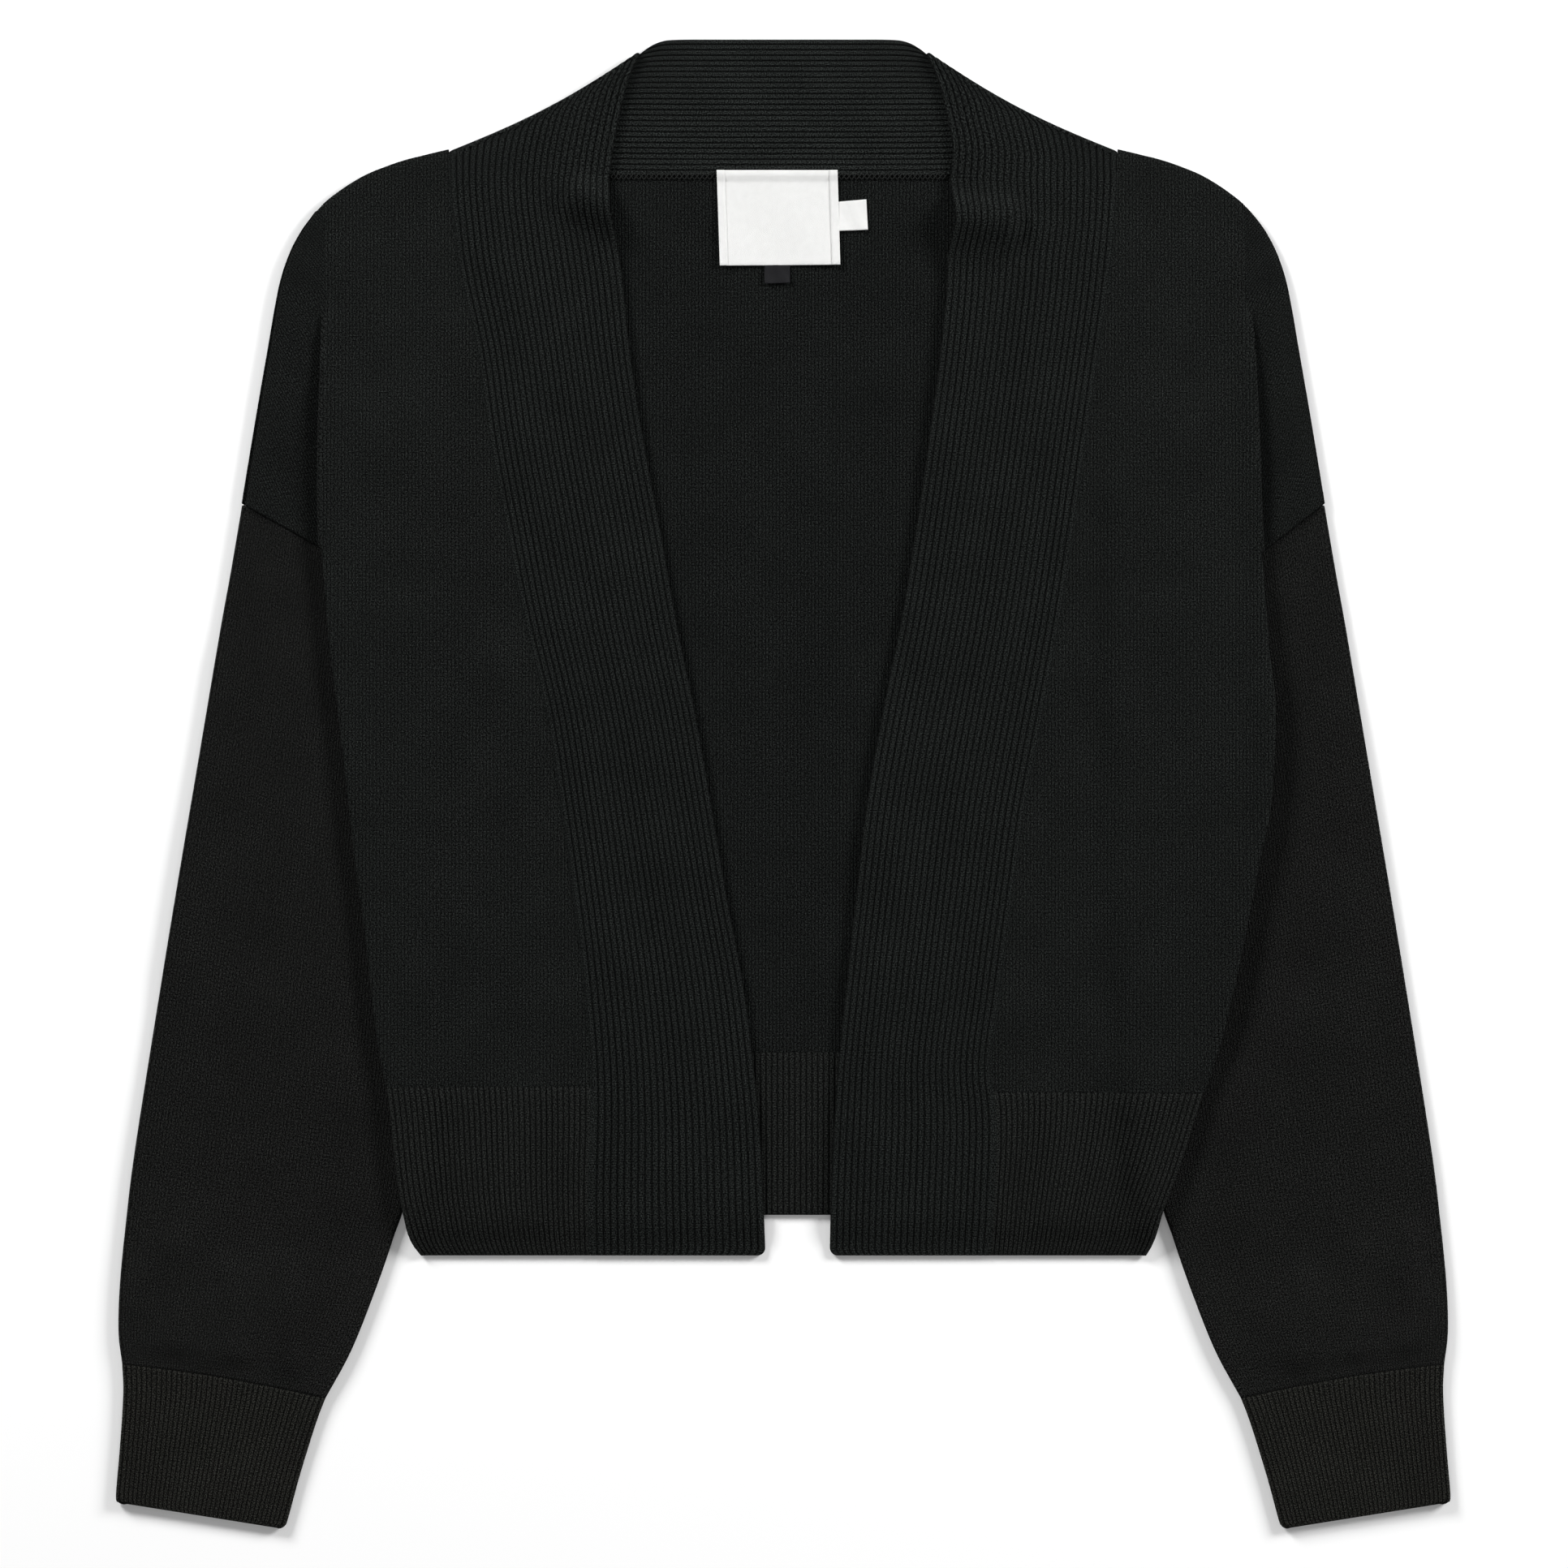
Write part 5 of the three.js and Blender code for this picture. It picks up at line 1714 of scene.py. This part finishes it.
@dataclass
class Labels:
    """The neck label with its folded sides, the size tab below it and the care tab beside it.

    Only a piece broader than the size called wide has folded sides.
    """

    white: bpy.types.Material
    dark: bpy.types.Material
    wall: float = 0.6
    base: float = 1.9
    hem_width: float = 3.4
    hem_rise: float = 0.5
    hem_slope: float = 0.3
    wide: float = 30.0
    rim: float = 0.3
    lip: float = 0.7
    lip_start: float = 261.5
    lip_length: float = 2.0
    middle_curl: float = 0.35
    ripple: float = 0.12

    def patch(self, name: str, node: str, slot: str, material: bpy.types.Material,
              corners: list[tuple[float, float]], curl: float) -> bpy.types.Object:
        """Makes a thin piece between four corners.

        A point is the blend of the four corners, raised near the neck seam, along folded sides and
        towards the free lower corners.

        Args:
            name: Name of the piece.
            node: Node that it stands for.
            slot: Material slot of that node.
            material: Its finish.
            corners: Lower left, lower right, upper right and upper left.
            curl: How far its lower edge stands up.

        Returns:
            The object.
        """
        low_left, low_right, high_right, high_left = (np.array(corner) for corner in corners)
        width, height = low_right[0] - low_left[0], high_left[1] - low_left[1]
        columns, rows = Spacing.even(150 if width > self.wide else 40), Spacing.even(30)
        s = (columns.places(width, self.rim)[0] / width)[None, :, None]
        r = (rows.places(height, self.rim)[0] / height)[:, None, None]
        flat = (low_left * (1 - s) + low_right * s) * (1 - r) + (high_left * (1 - s) + high_right * s) * r
        x, y = flat[..., 0], flat[..., 1]
        s, r = s[..., 0] + 0 * r[..., 0], r[..., 0] + 0 * s[..., 0]
        z = self.base + self.wall / 2 + self.lip * smoothstep((y - self.lip_start) / self.lip_length)
        if width > self.wide:
            side = np.minimum(s, 1 - s) * width
            z = z + self.hem_rise * smoothstep((self.hem_width - side) / self.hem_slope)
        bowl = self.middle_curl + (1 - self.middle_curl) * (2 * s - 1) ** 2
        z = z + np.maximum(curl * (1 - r) ** 2 * bowl + self.ripple * np.sin(9 * s + 4 * r), 0)
        share = rows.thickness[:, None] * columns.thickness[None] * self.wall / 2
        cloth = Cloth(name)
        cloth.add(grid(x, y, z), grid(x, y), share, share)
        return cloth.build(material, node, slot)

    def build(self) -> None:
        neck = self.patch("neck_label_ribbon", "neck_label", "white_label", self.white,
                          [(-27.5, 224.7), (24.8, 225.1), (23.6, 266.2), (-28.9, 266.2)], 0.7)
        size = self.patch("size_tab_ribbon", "size_tab", "dark_label", self.dark,
                          [(-8.1, 216.9), (3.0, 217.2), (3.0, 225.2), (-8.1, 225.2)], 0.9)
        care = self.patch("care_tab_ribbon", "care_tab", "white_label", self.white,
                          [(23.9, 239.8), (36.8, 240.3), (36.1, 253.6), (23.4, 252.5)], 0.5)


@dataclass
class NeckChain:
    """The two linking yarns that cross in a chain along the back neck's seam."""

    yarn: bpy.types.Material
    pitch: float = 4.4
    height: float = 2.3
    radius: float = 0.27
    left: float = -75.0
    right: float = 71.0
    steps: int = 16
    roundness: float = 0.95
    below_seam: float = 0.3
    base: float = 2.0
    tilt: float = 0.15
    cross: float = 0.22

    def build(self) -> None:
        """Builds both yarns: y swings as a rounded zigzag of x, and each yarn passes over and under."""
        x = np.linspace(self.left, self.right, int((self.right - self.left) / self.pitch * self.steps))
        for number, phase in enumerate((0.0, math.pi)):
            turn = 2 * math.pi * x / self.pitch + phase
            swing = np.arcsin(self.roundness * np.sin(turn)) / math.asin(self.roundness)
            y = NECK_SEAM - self.below_seam + self.height / 2 * swing
            z = self.base + self.tilt * (1 + swing) + self.cross * np.cos(turn)
            points, triangles, uvs = tube(grid(x, y, z), self.radius, 6)
            obj = mesh_object(f"neck_chain_stitch_{number + 1}", points, triangles, uvs, self.yarn)
            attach(obj, "root")


@dataclass
class SeamCord:
    """The raised line of linked loops along the seam between a front and the band."""

    knit: bpy.types.Material
    loop: float = 1.6
    radius: float = 0.6
    bulge: float = 0.12
    wander: float = 0.12
    hem_gain: float = 0.6
    raised: float = 0.25
    pitch: float = 2.8
    step: float = 0.4

    def build(self, side: Side) -> None:
        """Builds the line: a tube whose radius swells once in each loop, from the hem to the shoulder.

        Args:
            side: Which front.
        """
        y = np.arange(LAY.hem_end + 0.9, LAY.summit - 1.5, self.step)
        x = side.value * (LAY.band_seam(side, y) + LAY.seam / 2)
        x = x + self.wander * np.sin(math.pi * y / self.loop)
        z = LAY.front(x, y) + LAY.jersey - self.radius + self.raised
        ends = np.sqrt(np.clip(np.minimum(y - y[0], y[-1] - y) / 1.0, 0.04, 1.0))
        low = 1 + self.hem_gain * smoothstep((side.hem_top - y) / 6.0)
        size = self.radius * low * (1 + self.bulge * np.cos(2 * math.pi * y / self.loop)) * ends
        points, triangles, uvs = tube(grid(x, y, z), size, 8)
        uvs[:, 0] *= self.pitch / math.pi
        name = f"{side.word}_band_seam_loops"
        obj = mesh_object(name, points, triangles, uvs, self.knit)
        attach(obj, "root")


@dataclass(frozen=True)
class Studio:
    """A pale floor, soft light from above and a camera that looks straight down."""

    view_width: float = 0.680
    lens: float = 100.0
    sensor: float = 36.0
    lights: tuple[tuple[str, tuple[float, float, float], float, float], ...] = (
        ("key", (-1.6, 1.7, 1.2), 0.8, 76.0),
        ("fill", (2.0, 1.1, 1.1), 0.8, 70.0),
        ("low", (-0.2, -1.8, 1.6), 1.4, 12.0),
    )
    room: float = 0.22

    def floor(self) -> bpy.types.Object:
        """Lays a wide plain floor just under the cloth.

        Returns:
            The floor.
        """
        mesh = bpy.data.meshes.new("floor")
        reach = 3.0
        corners = [(-reach, -reach, 0), (reach, -reach, 0), (reach, reach, 0), (-reach, reach, 0)]
        mesh.from_pydata(corners, [], [(0, 1, 2, 3)])
        paint = Paint("pale_floor")
        paint.set({"Base Color": (0.86, 0.86, 0.86, 1.0), "Roughness": 0.9, "Specular IOR Level": 0.1})
        mesh.materials.append(paint.material)
        obj = bpy.data.objects.new("floor", mesh)
        bpy.context.scene.collection.objects.link(obj)
        obj.location.z = -0.0002
        return obj

    def light(self, name: str, place: tuple[float, float, float], size: float, power: float) -> None:
        """Adds a square area light that points at the middle of the floor.

        Args:
            name: Name of the light.
            place: Where it stands, in metres.
            size: Length of its sides, in metres.
            power: Its power, in watts.
        """
        data = bpy.data.lights.new(name, "AREA")
        data.size, data.energy = size, power
        obj = bpy.data.objects.new(name, data)
        bpy.context.scene.collection.objects.link(obj)
        obj.location = place
        down = -obj.location.normalized()
        obj.rotation_euler = down.to_track_quat("-Z", "Y").to_euler()

    def build(self) -> None:
        """Sets up the floor, the lights, the surroundings and the camera."""
        scene = bpy.context.scene
        scene.view_settings.view_transform = "Standard"
        self.floor()
        for values in self.lights:
            self.light(*values)
        world = bpy.data.worlds.new("soft_room")
        scene.world = world
        world.use_nodes = True
        background = next(node for node in world.node_tree.nodes if node.type == "BACKGROUND")
        background.inputs["Color"].default_value = (1.0, 1.0, 1.0, 1.0)
        background.inputs["Strength"].default_value = self.room
        data = bpy.data.cameras.new("camera")
        data.lens, data.sensor_width = self.lens, self.sensor
        camera = bpy.data.objects.new("camera", data)
        scene.collection.objects.link(camera)
        camera.location = (0.00035, -0.0002, 0.004 + self.view_width * self.lens / self.sensor)
        scene.camera = camera


def build_arm(side: Side, wardrobe: Wardrobe) -> None:
    """Builds a sleeve and its cuff, as tubes opened out.

    Args:
        side: Which arm.
        wardrobe: The finishes.
    """
    sections = {key: values.copy() for key, values in SLEEVE.items()}
    drop = SLEEVE["inner_y"][0] - side.armhole_inner_y
    sections["inner_y"][:3] -= drop * np.array([1, 2 / 3, 1 / 3])
    sleeve = Tube(side, f"{side.word}_sleeve_knit", f"{side.word}_sleeve", "jersey_knit",
                  wardrobe.sleeve_jersey, sections, 130, bow_end=1.5, folds=True,
                  start_rows=(0.008, 0.017, 0.026))
    obj, cloth = sleeve.build()
    cuff = Tube(side, f"{side.word}_cuff_rib", f"{side.word}_cuff", "rib_knit",
                wardrobe.cuff_rib, CUFF, 36, ribs=38, bow_start=1.5)
    obj, cloth = cuff.build()


def mix_finishes() -> Wardrobe:
    """Makes all the finishes of the cloth and the labels.

    Returns:
        The finishes.
    """
    # Some finishes set their own painted shade in the stitches' grooves and between courses.
    back = KnitFinish("black_back_jersey", colour=(0.0090, 0.0101, 0.0096), groove_shade=0.68)
    sleeve = KnitFinish("black_sleeve_jersey", colour=(0.0096, 0.0099, 0.0094), row_shade=0.12,
                        pale_gain=0.2, pale_place=385.0)
    band = RibFinish("black_band_rib", colour=(0.0105, 0.0118, 0.0112), wale=2.8, pale_gain=0.34)
    cuff = RibFinish("black_cuff_rib", colour=(0.0150, 0.0152, 0.0134), wale=2.3, groove_shade=0.85)
    return Wardrobe(
        jersey=KnitFinish("black_jersey", pulled_from=PULLED_PLACE / 2).make(),
        back_jersey=back.make(),
        sleeve_jersey=sleeve.make(),
        band_rib=band.make(),
        hem_rib=RibFinish("black_hem_rib", wale=2.5).make(),
        cuff_rib=cuff.make(),
        yarn=ThreadFinish("linking_yarn").make(),
        white=RibbonFinish("white_ribbon", (0.70, 0.70, 0.69)).make(),
        dark=RibbonFinish("dark_ribbon", (0.0115, 0.0115, 0.0128), gloss=0.04).make(),
    )


def main() -> None:
    """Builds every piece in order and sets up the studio."""
    logging.basicConfig(level=logging.INFO, format="%(message)s")
    wardrobe = mix_finishes()
    BackPanel(wardrobe.back_jersey).build()
    LOG.info("back panel built")
    hem = Hem(wardrobe.hem_rib)
    hem.build_back()
    for side in Side:
        FrontPanel(side, wardrobe.jersey).build()
        hem.build_front(side)
        LOG.info("%s front and its hem built", side.word)
    Band(wardrobe.band_rib).build()
    LOG.info("band built")
    for side in Side:
        build_arm(side, wardrobe)
        LOG.info("%s sleeve and cuff built", side.word)
    Labels(wardrobe.white, wardrobe.dark).build()
    NeckChain(wardrobe.yarn).build()
    for side in Side:
        SeamCord(wardrobe.band_rib).build(side)
    LOG.info("labels, neck stitch and band seams built")
    Studio().build()


if __name__ == "__main__":
    main()
